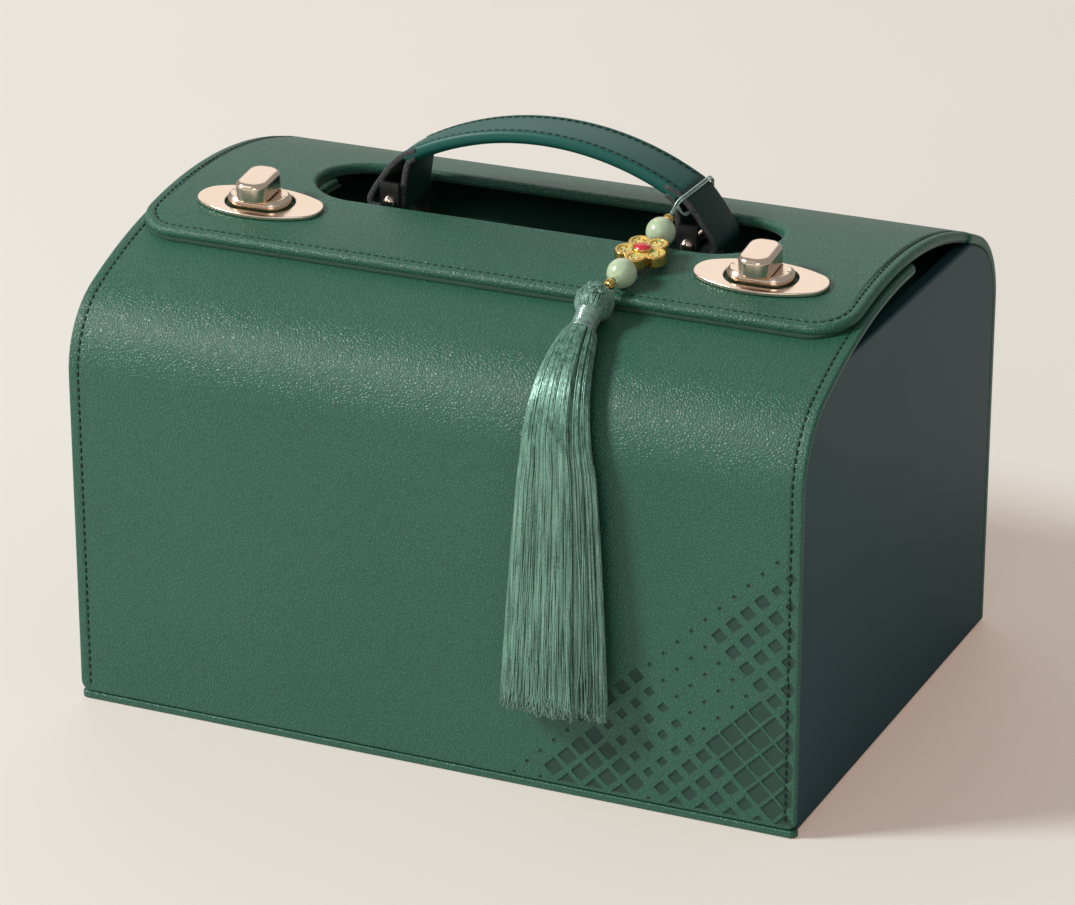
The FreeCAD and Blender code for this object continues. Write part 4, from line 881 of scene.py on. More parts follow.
wrapped_board = smooth_leather("wrapped_board", (0.030, 0.110, 0.078), (0.046, 0.150, 0.108), 0.55)
lining_suede = suede_cloth("lining_suede", (0.018, 0.048, 0.036), (0.030, 0.078, 0.058))
finish_nodes(wrapped_board, "plinth_rails", "top_board", "shelves")
finish_nodes(lining_suede, "lid_lining", "leaf_lining")

# Turn locks: an oval plate of rose-gold plated zinc on the lid, a raised boss through its middle
# and a knob on top. A shaft goes down to a cam bar, which turns under two steel strips in the leaf.

plate_long, plate_wide, plate_tip, plate_thick, plate_edge = 26.5, 12.0, 8.0, 1.6, 0.45
boss_long, boss_wide, boss_play = 26.0, 14.0, 1.4
knob_half_long, knob_half_wide, knob_corner = 9.5, 6.75, 5.2
plate_above, knob_above = 0.05, 5.25
lock_forward = 35
lock_lean = math.asin(lock_forward / lid_radius)


def plated_metal(name, deep, fair, roughness=0.16):
    """Plated and polished metal with the faint cloud and hair scratches of handling."""
    metal, place = new_finish(name)
    cloud = place.node("ShaderNodeTexNoise", None, {"Vector": place, "Scale": 60.0, "Detail": 4.0})
    hair = place.node("ShaderNodeTexNoise", None, {"Vector": place, "Scale": 1500.0, "Detail": 3.0})
    bump = place.node(
        "ShaderNodeBump", None, {"Height": hair, "Strength": 0.06, "Distance": 0.00005}
    )
    lay_on(
        place,
        Base_Color=cloud.blend(deep, fair),
        Metallic=1.0,
        Roughness=roughness + cloud * 0.08,
        Normal=bump,
    )
    return metal


rose_gold = plated_metal("rose_gold", (0.80, 0.63, 0.50), (0.87, 0.72, 0.60))
dark_steel = plated_metal("dark_steel", (0.10, 0.10, 0.10), (0.17, 0.17, 0.165), 0.34)


def oval_plan(long, wide, tip, step=0.6):
    """Two flat arcs and two end arcs that run into each other, anticlockwise."""
    middle = long - tip
    flat = (middle ** 2 + wide ** 2 - tip ** 2) / 2 / (wide - tip)
    lean = math.atan2(middle, flat - wide)
    points = []
    for turn in (0, math.pi):
        tip_end = math.pi / 2 - lean
        for angle in np.linspace(-tip_end, tip_end, int(tip / step) + 6)[:-1]:
            points.append((turn, middle + tip * math.cos(angle), tip * math.sin(angle)))
        for angle in np.linspace(tip_end, math.pi / 2 + lean, int(middle / step) + 8)[:-1]:
            points.append((turn, flat * math.cos(angle), flat * math.sin(angle) - flat + wide))
    return np.array([(x, y) if not turn else (-x, -y) for turn, x, y in points])


def round_bar_plan(long, wide):
    """A slot with round ends, longer along x."""
    return rounded_box(long, -wide, wide, wide * 0.999, 0.7)


def risen(plan, section):
    """A closed block whose plan is drawn in by the inset at each (inset, height) of its section."""
    block = bmesh.new()
    rings = []
    for inset, height in section:
        rings.append([block.verts.new((x, y, height)) for x, y in inset_ring(plan, inset)])
    joined(block, rings)
    block.faces.new(rings[0][::-1])
    block.faces.new(rings[-1])
    return block


def on_lid(across, above):
    """Stands a piece of a lock on the lid's crown line, square to it."""
    reach = lid_radius + above
    down, up = reach * math.sin(lock_lean), reach * math.cos(lock_lean)
    base = Vector((across, -down, up + dome_centre))

    def place(x, y, z):
        """A point of the lock, drawn upright, leant forward with the lid's surface."""
        c, s = math.cos(lock_lean), math.sin(lock_lean)
        return base + Vector((x, y * c - z * s, y * s + z * c))

    return place


boss_section = (
    (0.3, 0.0), (0.0, 0.3), (0.0, 3.3), (0.12, 3.75),
    (1.15, 4.8), (1.5, 5.0), (2.4, 5.0), (2.8, 4.8),
)
knob_section = (
    (0.7, 0.0), (0.15, 0.25), (0.0, 0.7), (0.0, 5.7),
    (0.2, 6.3), (0.9, 7.1), (1.8, 7.45), (3.0, 7.6),
)
knob_plan = rounded_box(knob_half_wide, -knob_half_long, knob_half_long, knob_corner, 0.5)
boss_plan = round_bar_plan(boss_long / 2, boss_wide / 2)
boss_hole = round_bar_plan(boss_long / 2 + boss_play, boss_wide / 2 + boss_play)[::-1]
plate_plan = oval_plan(plate_long, plate_wide, plate_tip)
for side, across in (("left", -lock_across), ("right", lock_across)):
    stand, stand_knob = on_lid(across, plate_above), on_lid(across, knob_above)
    plate = covered_board(plate_plan, [boss_hole], plate_thick, plate_edge)
    plate = make_piece(
        f"lock_plate_{side}", plate, stand, rose_gold, "lid", "rose_gold", "lock_plates"
    )
    boss = risen(boss_plan, boss_section)
    boss = make_piece(
        f"lock_boss_{side}", boss, stand, rose_gold, "lid", "rose_gold", "lock_bosses"
    )
    knob_name = f"knob_{side}"
    knob = risen(knob_plan, knob_section)
    knob = make_piece(
        f"turn_{knob_name}", knob, stand_knob, rose_gold, knob_name, "rose_gold", knob_name
    )
    for piece in (plate, boss, knob):
        level_normals(piece)
    finish_nodes(dark_steel, f"shaft_{side}", f"cam_{side}")
finish_nodes(dark_steel, "keepers")

# Drawers: boards wrapped in dark green bonded leather, a grained leather front with turned edges,
# felt in the bottom, and a folded leather pull tab held by two domed rivets.

drawer_pitch, drawer_low, drawer_tall = 35.75, 19.8, 32.55
drawer_half, drawer_front_y = 142.2, -78.5
front_thick, front_edge, front_corner = 6.0, 1.0, 0.8
rivet_across, rivet_y, rivet_radius, rivet_tall = 7.5, -86.5, 2.0, 1.0
felt = suede_cloth("drawer_felt", (0.040, 0.085, 0.064), (0.062, 0.125, 0.096))
tab_leather = smooth_leather("tab_leather", (0.026, 0.064, 0.050), (0.040, 0.096, 0.074), 0.42)


def risen_dome(centre, radius, tall):
    """A domed rivet head that faces forward."""
    turns = np.linspace(0, math.tau, 20, endpoint=False)
    around = np.array([(radius * math.cos(turn), radius * math.sin(turn)) for turn in turns])
    crown = ((0.2, 0.7), (0.5, 0.94), (0.8, 1))
    crown = [(radius * inset, tall * height) for inset, height in crown]
    head = risen(around, [(0, 0), (0, 0.25), *crown])
    for vertex in head.verts:
        x, y, z = vertex.co
        vertex.co = Vector((centre[0] + x, centre[1] - z, centre[2] + y))
    return head


front_plan = rounded_box(drawer_half, 0, drawer_tall, front_corner)
for number in (1, 2, 3, 4):
    name, low = f"drawer_{number}", drawer_low + (number - 1) * drawer_pitch
    face = make_piece(
        f"{name}_face",
        covered_board(front_plan, [], front_thick, front_edge),
        lambda x, z, out, low=low: (x, drawer_front_y - out, low + z),
        pebbled,
        name,
        "board",
        f"{name}_front",
    )
    level_normals(face)
    finish_nodes(wrapped_board, f"{name}_walls", f"{name}_floor")
    finish_nodes(felt, f"{name}_felt")
    finish_nodes(tab_leather, f"{name}_tab")
    for side, x in (("left", -rivet_across), ("right", rivet_across)):
        middle = (x, rivet_y, low + drawer_tall / 2 + 1)
        rivet = risen_dome(middle, rivet_radius, rivet_tall)
        rivet_name = f"{name}_rivet_{side}"
        make_piece(rivet_name, rivet, as_drawn, rose_gold, name, "rose_gold", f"{name}_rivets")

# Handle fittings: blackened steel brackets are screwed to the top board, and a rose-gold bar
# through each has a domed end in front.

finish_nodes(dark_steel, "handle_brackets", "bracket_screws")
finish_nodes(rose_gold, "handle_bars")
bar_across, bar_front, bar_height, bar_radius, bar_dome = 62.5, -6.8, 185.5, 2.6, 2.0
for side, sign in (("left", -1), ("right", 1)):
    cap = risen_dome((sign * bar_across, bar_front, bar_height), bar_radius, bar_dome)
    make_piece(f"bar_end_{side}", cap, as_drawn, rose_gold, "carcass", "rose_gold")

# Straps: a belt of smooth leather with painted edges loops round each bar, and both its ends go up
# into the grip.

strap_wide, strap_thick, strap_middle = 24.0, 2.5, 8.0
strap_line = (
    (52.0, 206.9), (55.2, 205.4), (58.0, 203.9), (61.3, 201.3), (64.9, 197.0),
    (68.3, 192.3), (71.6, 187.2), (72.75, 184.2), (71.6, 182.2), (69.0, 181.95),
    (65.0, 181.95), (61.0, 181.95), (58.9, 182.9), (58.25, 185.0), (58.25, 188.5),
    (57.5, 194.0), (56.6, 199.4), (55.2, 202.4), (52.5, 203.6),
)


def eased(points, rounds=2):
    """Rounds off a line of points by cutting its corners, keeping both ends."""
    points = np.asarray(points, float)
    for _ in range(rounds):
        low = points[:-1] * 0.75 + points[1:] * 0.25
        high = points[:-1] * 0.25 + points[1:] * 0.75
        inner = np.stack((low, high), axis=1).reshape(-1, points.shape[1])
        points = np.concatenate((points[:1], inner[1:-1], points[-1:]))
    return points


def belt(line, sign, wide, thick, middle, edge=0.75):
    """A band along a line in the upright plane; its rounded edges take the second material."""
    line = eased(line)
    ahead = np.gradient(line, axis=0)
    ahead /= np.linalg.norm(ahead, axis=1)[:, None]
    band = bmesh.new()
    half, deep = wide / 2, thick / 2
    section = []
    for turn, (side, face) in enumerate(((1, -1), (1, 1), (-1, 1), (-1, -1))):
        for angle in np.linspace(0, math.pi / 2, 4):
            a = angle + turn * math.pi / 2 - math.pi / 2
            across = side * (half - edge) + edge * math.cos(a)
            section.append((across, face * (deep - edge) + edge * math.sin(a)))
    rings = []
    for (x, z), (dx, dz) in zip(line, ahead):
        ring = [(sign * (x - dz * out), middle + across, z + dx * out) for across, out in section]
        rings.append([band.verts.new(point) for point in ring])
    for number, face in enumerate(joined(band, rings)):
        place, after = number % len(section), (number + 1) % len(section)
        flat = abs(section[place][1] - section[after][1]) < 1e-6
        face.material_index = 0 if flat else 1
    band.faces.new(rings[0][::-1])
    band.faces.new(rings[-1])
    return band


strap_skin = smooth_leather("strap_skin", (0.004, 0.024, 0.019), (0.008, 0.038, 0.031), 0.42, 0.22)


def painted_edge():
    """Cut leather edges under matt paint, with the fibres still standing through it."""
    paint, place = new_finish("edge_paint")
    fibre = place.node(
        "ShaderNodeTexNoise", None, {"Vector": place, "Scale": 1500.0, "Detail": 4.0}
    )
    layer = place.node(
        "ShaderNodeTexNoise", None, {"Vector": place, "Scale": 5200.0, "Detail": 2.0}
    )
    standing = {"Height": fibre + layer * 0.6, "Strength": 0.8, "Distance": 0.0003}
    bump = place.node("ShaderNodeBump", None, standing)
    tone = fibre * 2.6 + layer * 1.2 - 1.45
    colour = tone.blend((0.004, 0.005, 0.005), (0.085, 0.09, 0.095))
    lay_on(place, Base_Color=colour, Roughness=0.75, Normal=bump)
    return paint


edge_paint = painted_edge()
for side, sign in (("left", -1), ("right", 1)):
    strap = belt(strap_line, sign, strap_wide, strap_thick, strap_middle)
    strap = make_piece(
        f"strap_{side}", strap, as_drawn, strap_skin, "handle", "strap_leather", "strap_loops"
    )
    strap.data.materials.append(edge_paint)

# Grip: a foam core in smooth leather over the strap. Its top is nearly flat, its edges are rolled
# and stitched down, and at each end the cover stops in a painted edge above a thin collar.

arch_radius, arch_centre = 115.8, 102.2
grip_half_span, grip_stitch_across, grip_stitch_out = 57.0, 9.25, 2.45
grip_skin = smooth_leather("grip_skin", (0.005, 0.070, 0.056), (0.011, 0.105, 0.086), 0.38, 0.26)


def along_arch(along, across, out):
    """A place on the grip: along its arch, across it, and out from the middle of its thickness."""
    angle = along / arch_radius
    reach = arch_radius + out
    return reach * math.sin(angle), strap_middle + across, reach * math.cos(angle) + arch_centre


def grip_section():
    """Half widths and heights round the grip: crowned, a sewn channel, rolled edges, flat below."""
    crown, crown_low, crown_rise = 8.4, 2.55, 0.25
    top = [
        (across, crown_low + crown_rise * math.cos(across / crown * math.pi / 2))
        for across in np.linspace(-crown, crown, 13)
    ]
    channel = [(8.9, 2.38), (grip_stitch_across, 2.3), (9.6, 2.42)]
    roll_across, roll_up, roll_wide, roll_tall = 10.6, 0.35, 1.4, 2.45
    roll = [
        (roll_across + roll_wide * math.sin(turn), roll_up + roll_tall * math.cos(turn))
        for turn in np.linspace(-0.35, 2.3, 10)
    ]
    below = [(10.4, -2.35), (8.5, -2.85), (4.0, -2.98), (0.0, -3.0)]
    right = channel + roll + below
    left = [(-across, out) for across, out in right[:-1]][::-1]
    return top + right + left


grip = bmesh.new()
grip_ring = grip_section()
grip_long = arch_radius * math.asin(grip_half_span / arch_radius)
rings = []
stops = [(-grip_long, 0.90), (-grip_long + 0.12, 0.96), (-grip_long + 0.45, 1.0)]
stops += [(along, 1.0) for along in np.linspace(-grip_long + 2.5, grip_long - 2.5, 80)]
stops += [(grip_long - 0.45, 1.0), (grip_long - 0.12, 0.96), (grip_long, 0.90)]
for along, full in stops:
    thin = 0.93 + 0.07 * full
    rings.append([grip.verts.new((along, across * thin, out * full)) for across, out in grip_ring])
joined(grip, rings)
grip.faces.new(rings[0][::-1]).material_index = 1
grip.faces.new(rings[-1]).material_index = 1
grip = make_piece(
    "grip_leather", grip, along_arch, grip_skin, "handle", "strap_leather", "handle_grip"
)
grip.data.materials.append(edge_paint)
grip_rows = []
for across in (-grip_stitch_across, grip_stitch_across):
    row_end = grip_long - 2
    line = [(along, across) for along in np.linspace(-row_end, row_end, 60)]
    grip_rows += stitches_on(along_arch, line, grip_stitch_out)
stitch_row("grip_stitching", grip_rows, "handle", "strap_leather")

# Charm thread: a doubled silk cord. It goes round the outer leg of the right strap and between its
# legs, comes together, and runs down through the beads and the flower into the tassel's head.

cord_wide, strand_apart, strand_radius, strand_turn = 0.0016, 0.31, 0.23, 24
cord_points = (
    (0.0589, -0.0068, 0.2006), (0.0608, -0.0060, 0.1970), (0.0608, -0.00185, 0.1970),
    (0.0608, 0.0145, 0.1970), (0.0608, 0.0223, 0.1970), (0.0612, 0.0223, 0.2048),
    (0.0612, 0.0145, 0.2048), (0.0611, -0.0030, 0.2047), (0.0611, -0.0057, 0.2047),
    (0.0594, -0.0072, 0.2033), (0.0579, -0.0090, 0.1998), (0.0580, -0.0214, 0.1952),
    (0.0578, -0.0382, 0.1922), (0.0564, -0.0545, 0.1894), (0.0548, -0.0613, 0.1874),
    (0.05405, -0.06386, 0.18596),
)


def smooth_route(points):
    """The points of one smooth line that a row of control points pulls into shape."""
    curve = bpy.data.curves.new("charm_route", "CURVE")
    curve.dimensions = "3D"
    curve.resolution_u = 16
    spline = curve.splines.new("NURBS")
    spline.points.add(len(points) - 1)
    for place, point in zip(spline.points, points):
        place.co = (*point, 1.0)
    spline.order_u = 3
    spline.use_endpoint_u = True
    holder = bpy.data.objects.new("charm_route", curve)
    mesh = bpy.data.meshes.new_from_object(holder)
    line = np.array([vertex.co for vertex in mesh.vertices])
    bpy.data.objects.remove(holder)
    bpy.data.meshes.remove(mesh)
    bpy.data.curves.remove(curve)
    return line


def tubes(lines, radius, sides=6):
    """Round tubes along rows of points, as points and faces, with one radius or one per point."""
    lines = np.asarray(lines, float)
    count, long, _ = lines.shape
    ahead = np.gradient(lines, axis=1)
    ahead /= np.linalg.norm(ahead, axis=2)[:, :, None]
    aside = np.zeros_like(ahead)
    start = np.where(np.abs(ahead[:, 0, 2:3]) < 0.8, (0.0, 0.0, 1.0), (1.0, 0.0, 0.0))
    aside[:, 0] = start
    for place in range(long):
        last = aside[:, max(0, place - 1)]
        last = last - (last * ahead[:, place]).sum(1)[:, None] * ahead[:, place]
        aside[:, place] = last / np.linalg.norm(last, axis=1)[:, None]
    other = np.cross(ahead, aside)
    radius = np.broadcast_to(np.asarray(radius, float), (count, long))
    around = np.linspace(0, math.tau, sides, endpoint=False)
    ring = np.cos(around)[:, None] * aside[:, :, None] + np.sin(around)[:, None] * other[:, :, None]
    points = (lines[:, :, None] + ring * radius[:, :, None, None]).reshape(-1, 3)
    index = np.arange(count * long * sides).reshape(count, long, sides)
    after = np.roll(index, -1, axis=2)
    walls = np.stack((index[:, :-1], after[:, :-1], after[:, 1:], index[:, 1:]), axis=-1)
    faces = walls.reshape(-1, 4).tolist() + index[:, 0, ::-1].tolist() + index[:, -1].tolist()
    return points, faces


def silk(name, deep, fair, run=(1.0, 1.0, 0.03), roughness=0.34, shine=0.8):
    """Twisted silk floss: fine streaks along the thread, a soft shine and a pale edge."""
    thread, place = new_finish(name)
    along = place.node("ShaderNodeVectorMath", {"operation": "MULTIPLY"}, {0: place, 1: run})
    streak = place.node(
        "ShaderNodeTexNoise", None, {"Vector": along, "Scale": 1300.0, "Detail": 2.0}
    )
    lock = place.node("ShaderNodeTexNoise", None, {"Vector": along, "Scale": 420.0, "Detail": 1.0})
    twist = place.node(
        "ShaderNodeTexNoise", None, {"Vector": place, "Scale": 1500.0, "Detail": 2.0}
    )
    tone = streak * 1.5 + lock * 1.1 + twist * 1.2 - 1.4
    bump = place.node(
        "ShaderNodeBump", None, {"Height": twist, "Strength": 0.6, "Distance": 0.00016}
    )
    lay_on(
        place,
        Base_Color=tone.blend(deep, fair),
        Metallic=0.4,
        Roughness=roughness,
        Specular_IOR_Level=shine,
        Sheen_Weight=0.25,
        Sheen_Roughness=0.3,
        Normal=bump,
    )
    return thread


cord_silk = silk("cord_silk", (0.20, 0.33, 0.28), (0.48, 0.66, 0.59), (1.0, 1.0, 1.0))
route = smooth_route(cord_points)
ahead = np.gradient(route, axis=0)
ahead /= np.linalg.norm(ahead, axis=1)[:, None]
travel = np.concatenate(([0], np.cumsum(np.linalg.norm(np.diff(route, axis=0), axis=1))))
aside = np.cross(ahead, (0.0, 0.0, 1.0))
aside[np.linalg.norm(aside, axis=1) < 0.2] = (1.0, 0.0, 0.0)
aside /= np.linalg.norm(aside, axis=1)[:, None]
over = np.cross(aside, ahead)
twist = 0.87 + (travel - 0.05) * strand_turn
apart = (np.cos(twist)[:, None] * aside + np.sin(twist)[:, None] * over) * cord_wide * strand_apart
pair = tubes([route + apart, route - apart], cord_wide * strand_radius, 10)
pair = (pair[0] / MM, pair[1])
thread = make_piece("charm_cord", pair, None, cord_silk, None, "silk", "charm_thread")
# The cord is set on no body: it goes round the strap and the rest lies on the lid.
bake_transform(thread)

# Beads: two polished jade balls with bored holes, each with a small grooved gold bead beside it.
# They are threaded on the cord, one pair before the flower and one pair after it.


def turned(profile, start, direction, around=48, flute=0, depth=0.0):
    """A turned shape: a profile of (along, radius) about an axis, fluted on request, in mm."""
    start, direction = Vector(start), Vector(direction).normalized()
    side = direction.orthogonal().normalized()
    other = direction.cross(side)
    points, faces = [], []
    for along, radius in profile:
        for place in range(around):
            angle = math.tau * place / around
            reach = radius * (1 - depth * (0.5 + 0.5 * math.cos(flute * angle)))
            out = side * math.cos(angle) + other * math.sin(angle)
            points.append(start + direction * along + out * reach)
    for ring in range(len(profile) - 1):
        for place in range(around):
            after = (place + 1) % around
            low, high = ring * around, (ring + 1) * around
            faces.append((low + place, low + after, high + after, high + place))
    faces += [tuple(range(around))[::-1], tuple(range(len(points) - around, len(points)))]
    return np.array(points), faces


def bead_profile(radius, bore, steps=28, squeeze=1.0):
    """A ball's profile with a softened edge at its bore."""
    lean = math.asin(bore / radius)
    leans = np.linspace(lean, math.pi - lean, steps)
    ball = [(-radius * squeeze * math.cos(a), radius * math.sin(a)) for a in leans]
    rim, inner, lip, deep = ball[0][0] + 0.15, bore * 0.8, bore * 0.92, 0.5
    return [(rim + deep, inner), (rim, lip), *ball, (-rim, lip), (-rim - deep, inner)]


def polished_stone(name, deep, fair, scale=220.0):
    """Polished stone with cloudy veins under a clear surface; a little light sinks in."""
    stone, place = new_finish(name)
    veins = {"Vector": place, "Scale": scale, "Detail": 4.0, "Distortion": 1.2}
    cloud = place.node("ShaderNodeTexNoise", None, veins)
    lay_on(
        place,
        Base_Color=cloud.blend(deep, fair),
        Roughness=0.20 + cloud * 0.10,
        Coat_Weight=0.5,
        Coat_Roughness=0.14,
        Subsurface_Weight=0.25,
        Subsurface_Scale=0.002,
    )
    return stone


jade = polished_stone("jade", (0.30, 0.42, 0.27), (0.58, 0.69, 0.48))
bead_gold = plated_metal("bead_gold", (0.60, 0.34, 0.08), (0.82, 0.55, 0.18), 0.20)
thread_a, bead_a, flower_middle, bead_b, thread_b = (
    Vector(point) / MM for point in cord_points[10:15]
)
into_a, to_flower = (bead_a - thread_a).normalized(), (flower_middle - bead_a).normalized()
from_flower, out_of_b = (bead_b - flower_middle).normalized(), (thread_b - bead_b).normalized()
jade_radius, gold_radius, bead_bore = 5.7, 2.2, 1.0
gold_squeeze, gold_flutes, flute_deep = 0.92, 10, 0.10
for level, ball, way, outward in (
    ("upper", bead_a, into_a + to_flower, -into_a),
    ("lower", bead_b, from_flower + out_of_b, out_of_b),
):
    shape = turned(bead_profile(jade_radius, bead_bore), ball, way)
    make_piece(f"jade_ball_{level}", shape, None, jade, "carcass", "jade", f"jade_bead_{level}")
    small = ball + outward * (jade_radius + gold_radius)
    shape = bead_profile(gold_radius, bead_bore, 14, gold_squeeze)
    shape = turned(shape, small, outward, 60, gold_flutes, flute_deep)
    node = f"gold_bead_{level}"
    make_piece(f"gold_ball_{level}", shape, None, bead_gold, "carcass", "gold", node)

# Flower: cast brass, gilded, with five petals. Each petal's floor is enamelled in yellow and green
# between raised rims, and a red oval stone stands in a rim in the middle.

petal_radius, petal_reach, flower_thick, flower_edge = 4.3, 6.2, 4.4, 0.5
floor_reach, floor_radius, floor_deep = petal_reach + 0.35, 2.95, 0.55
stud_reach, stud_radius, stud_flat, stud_sunk = 1.7, 0.62, 0.7, 0.45
rim_half_wide, rim_half_deep, rim_radius, rim_above = 3.75, 2.95, 0.42, 0.25
stone_half_wide, stone_half_deep, stone_tall = 3.5, 2.7, 1.6
flower_way = (to_flower + from_flower).normalized()
flower_side = flower_way.cross(Vector((0, 0, 1))).normalized()
flower_up = flower_side.cross(flower_way).normalized()


def in_flower(x, y, z):
    """Sets a point of the flower, drawn flat on its middle, on the cord."""
    return flower_middle + flower_side * x + flower_way * y + flower_up * z


def ring_at(reach, angle, radius, start, end, steps):
    """Points of an arc about a petal's middle; start and end are counted from its outward line."""
    middle = np.array((math.cos(angle), math.sin(angle))) * reach
    turns = angle + np.linspace(start, end, steps)
    return middle + radius * np.stack((np.cos(turns), np.sin(turns)), axis=1)


petal_turns = [math.radians(90 + 72 * number) for number in range(5)]
petal_edge = math.radians(91)
outline = np.concatenate(
    [
        ring_at(petal_reach, turn, petal_radius, -petal_edge, petal_edge, 18)
        for turn in petal_turns
    ]
)
floors = [
    ring_at(floor_reach, turn, floor_radius, 0, -math.tau * 21 / 22, 22) for turn in petal_turns
]
flower = covered_board(
    outline, [], flower_thick, flower_edge, pressed=floors, press=floor_deep
)
flower = make_piece(
    "flower_casting",
    flower,
    lambda x, y, z: in_flower(x, y, z - flower_thick / 2),
    bead_gold,
    "carcass",
    "gold",
    "flower_charm",
)
enamel, place = new_finish("petal_enamel")
drift = place.node("ShaderNodeTexNoise", None, {"Vector": place, "Scale": 520.0, "Detail": 2.0})
cells = place.node("ShaderNodeTexVoronoi", None, {"Vector": place, "Scale": 620.0})
tint = (drift * 2.6 - 0.75).blend((0.16, 0.36, 0.12), (0.86, 0.52, 0.05))
lay_on(place, Base_Color=tint, Roughness=0.12 + cells * 0.12, Coat_Weight=0.7, Coat_Roughness=0.08)
flower.data.materials.append(enamel)
level_normals(flower)
studs = bmesh.new()
for turn in petal_turns:
    for lean in (-math.pi / 2, 0, math.pi / 2):
        x, y = ring_at(floor_reach, turn, stud_reach, lean, lean, 1)[0]
        made = bmesh.ops.create_icosphere(studs, subdivisions=2, radius=stud_radius)["verts"]
        bmesh.ops.scale(studs, vec=(1, 1, stud_flat), verts=made)
        bmesh.ops.translate(studs, vec=(x, y, flower_thick / 2 - stud_sunk), verts=made)
make_piece("flower_studs", studs, in_flower, bead_gold, "carcass", "gold")
rim_turns = np.linspace(0, math.tau, 49)
rim = [
    (rim_half_wide * math.cos(a), rim_half_deep * math.sin(a), flower_thick / 2 + rim_above)
    for a in rim_turns
]
rim = tubes([rim], rim_radius, 8)
make_piece("flower_rim", rim, in_flower, bead_gold, "carcass", "gold")
red_stone = polished_stone("red_stone", (0.42, 0.008, 0.016), (0.66, 0.02, 0.035), 500.0)
dome = [(stone_tall * math.sin(a), math.cos(a)) for a in np.linspace(0, math.pi / 2 * 0.97, 12)]
points, faces = turned(dome, (0, 0, flower_thick / 2), (0, 0, 1))
jewel = (points * (stone_half_wide, stone_half_deep, 1.0), faces)
make_piece("flower_jewel", jewel, in_flower, red_stone, "carcass", "stone", "flower_stone")

# Tassel head: floss laid over a ball and gathered below it, with a small knot of cord on top, and
# a binding of many close turns of thread under the ball.

knot_middle, knot_radius = Vector((52.2, -70.2, 182.4)), 7.5
binding_top, skirt_top = Vector((52.3, -74.6, 180.0)), Vector((52.6, -83.0, 175.4))
binding_radius, wave_deep, waist_deep, turns_of_thread = 5.0, 0.12, 0.25, 19
floss_count, floss_radius, loop_radius, tuft_count = 240, 0.27, 0.34, 90
head_way = (skirt_top - binding_top).normalized()
head_side = head_way.cross(Vector((0, 0, 1))).normalized()
head_up = head_side.cross(head_way).normalized()
chance = np.random.default_rng(8)
down_threads, round_head, all_ways = (1.0, 1.0, 0.03), (1.0, 0.4, 0.4), (1.0, 1.0, 1.0)
skirt_tones = (0.016, 0.088, 0.062), (0.250, 0.490, 0.395)
head_tones = (0.045, 0.120, 0.094), (0.190, 0.350, 0.285)
tuft_tones = (0.055, 0.170, 0.130), (0.260, 0.460, 0.380)
tassel_silk = silk("tassel_silk", *skirt_tones, down_threads, 0.28, 1.0)
head_silk = silk("head_silk", *head_tones, round_head, 0.40)
tuft_silk = silk("tuft_silk", *tuft_tones, all_ways, 0.40)


def on_head(turn, lean, reach):
    """A point over the head's ball: turn about its axis, lean from the top, and distance out."""
    top = -head_way
    flat = head_side * math.cos(turn) + head_up * math.sin(turn)
    return knot_middle + (top * math.cos(lean) + flat * math.sin(lean)) * reach


floss = []
for number in range(floss_count):
    turn = math.tau * number / (floss_count // 2) + chance.uniform(-0.02, 0.02)
    swing, phase = chance.uniform(-0.10, 0.10), chance.uniform(0, math.tau)
    reach = knot_radius - (0.32 if number < floss_count // 2 else 0.55)
    leans = np.linspace(0.16, 2.55, 20)
    turns = [turn + swing * math.sin(lean * 2 + phase) for lean in leans]
    floss.append([on_head(swung, lean, reach) for swung, lean in zip(turns, leans)])
ball = [(-a, b) for a, b in bead_profile(knot_radius - 1.0, 0.4, 24)]
points, faces = turned(ball, knot_middle, head_way)
floss_points, floss_faces = tubes(floss, floss_radius, 5)
faces = faces + [tuple(index + len(points) for index in face) for face in floss_faces]
shape = (np.concatenate((points, floss_points)), faces)
head = make_piece("tassel_head", shape, None, head_silk, "carcass", "silk", "tassel_knot")
knot_loops = (
    (1.70, 0.80, 2.2, 1.5),
    (2.05, 1.25, 2.0, 1.7),
    (1.62, 1.45, 1.6, 1.3),
    (1.1, 0.7, 2.0, 1.2),
)
loops = []
for turn, lean, across, wide in knot_loops:
    for share in (0, 1):
        ring = []
        for a in np.linspace(0, math.tau, 24):
            swing = turn + (wide * math.sin(a) + 0.5 * share) / knot_radius
            down = lean + (across * math.cos(a) + 0.4 * share) / knot_radius
            ring.append(on_head(swing, down, knot_radius - 0.15 + 0.35 * math.sin(2 * a + share)))
        loops.append(ring)
loops = tubes(loops, loop_radius, 6)
head_loops = make_piece("tassel_loops", loops, None, tuft_silk, "carcass", "silk")
tufts = []
for number in range(tuft_count):
    turn, lean = chance.normal(1.84, 0.17), chance.uniform(0.55, 1.45)
    bend_to = chance.uniform(-0.30, 0.30)
    far = chance.uniform(-0.10, 0.30)
    hair = []
    for share in np.linspace(0, 1, 5):
        reach = knot_radius - 0.9 + 1.0 * share
        hair.append(on_head(turn + bend_to * share, lean + far * share, reach))
    tufts.append(hair)
tufts = tubes(tufts, np.linspace(0.20, 0.10, 5), 4)
tuft = make_piece("tassel_tuft", tufts, None, tuft_silk, "carcass", "silk")
binding_long = (skirt_top - binding_top).length
profile = [(0.0, binding_radius - 1.2)]
for along in np.linspace(0.1, binding_long - 0.05, turns_of_thread * 5 + 1):
    wave = abs(math.sin(math.pi * turns_of_thread * along / binding_long))
    waist = waist_deep * math.sin(math.pi * along / binding_long)
    profile.append((along, binding_radius - wave_deep - waist + wave_deep * wave))
profile.append((binding_long, binding_radius - 1.2))
binding_tones = (0.10, 0.20, 0.17), (0.34, 0.50, 0.45)
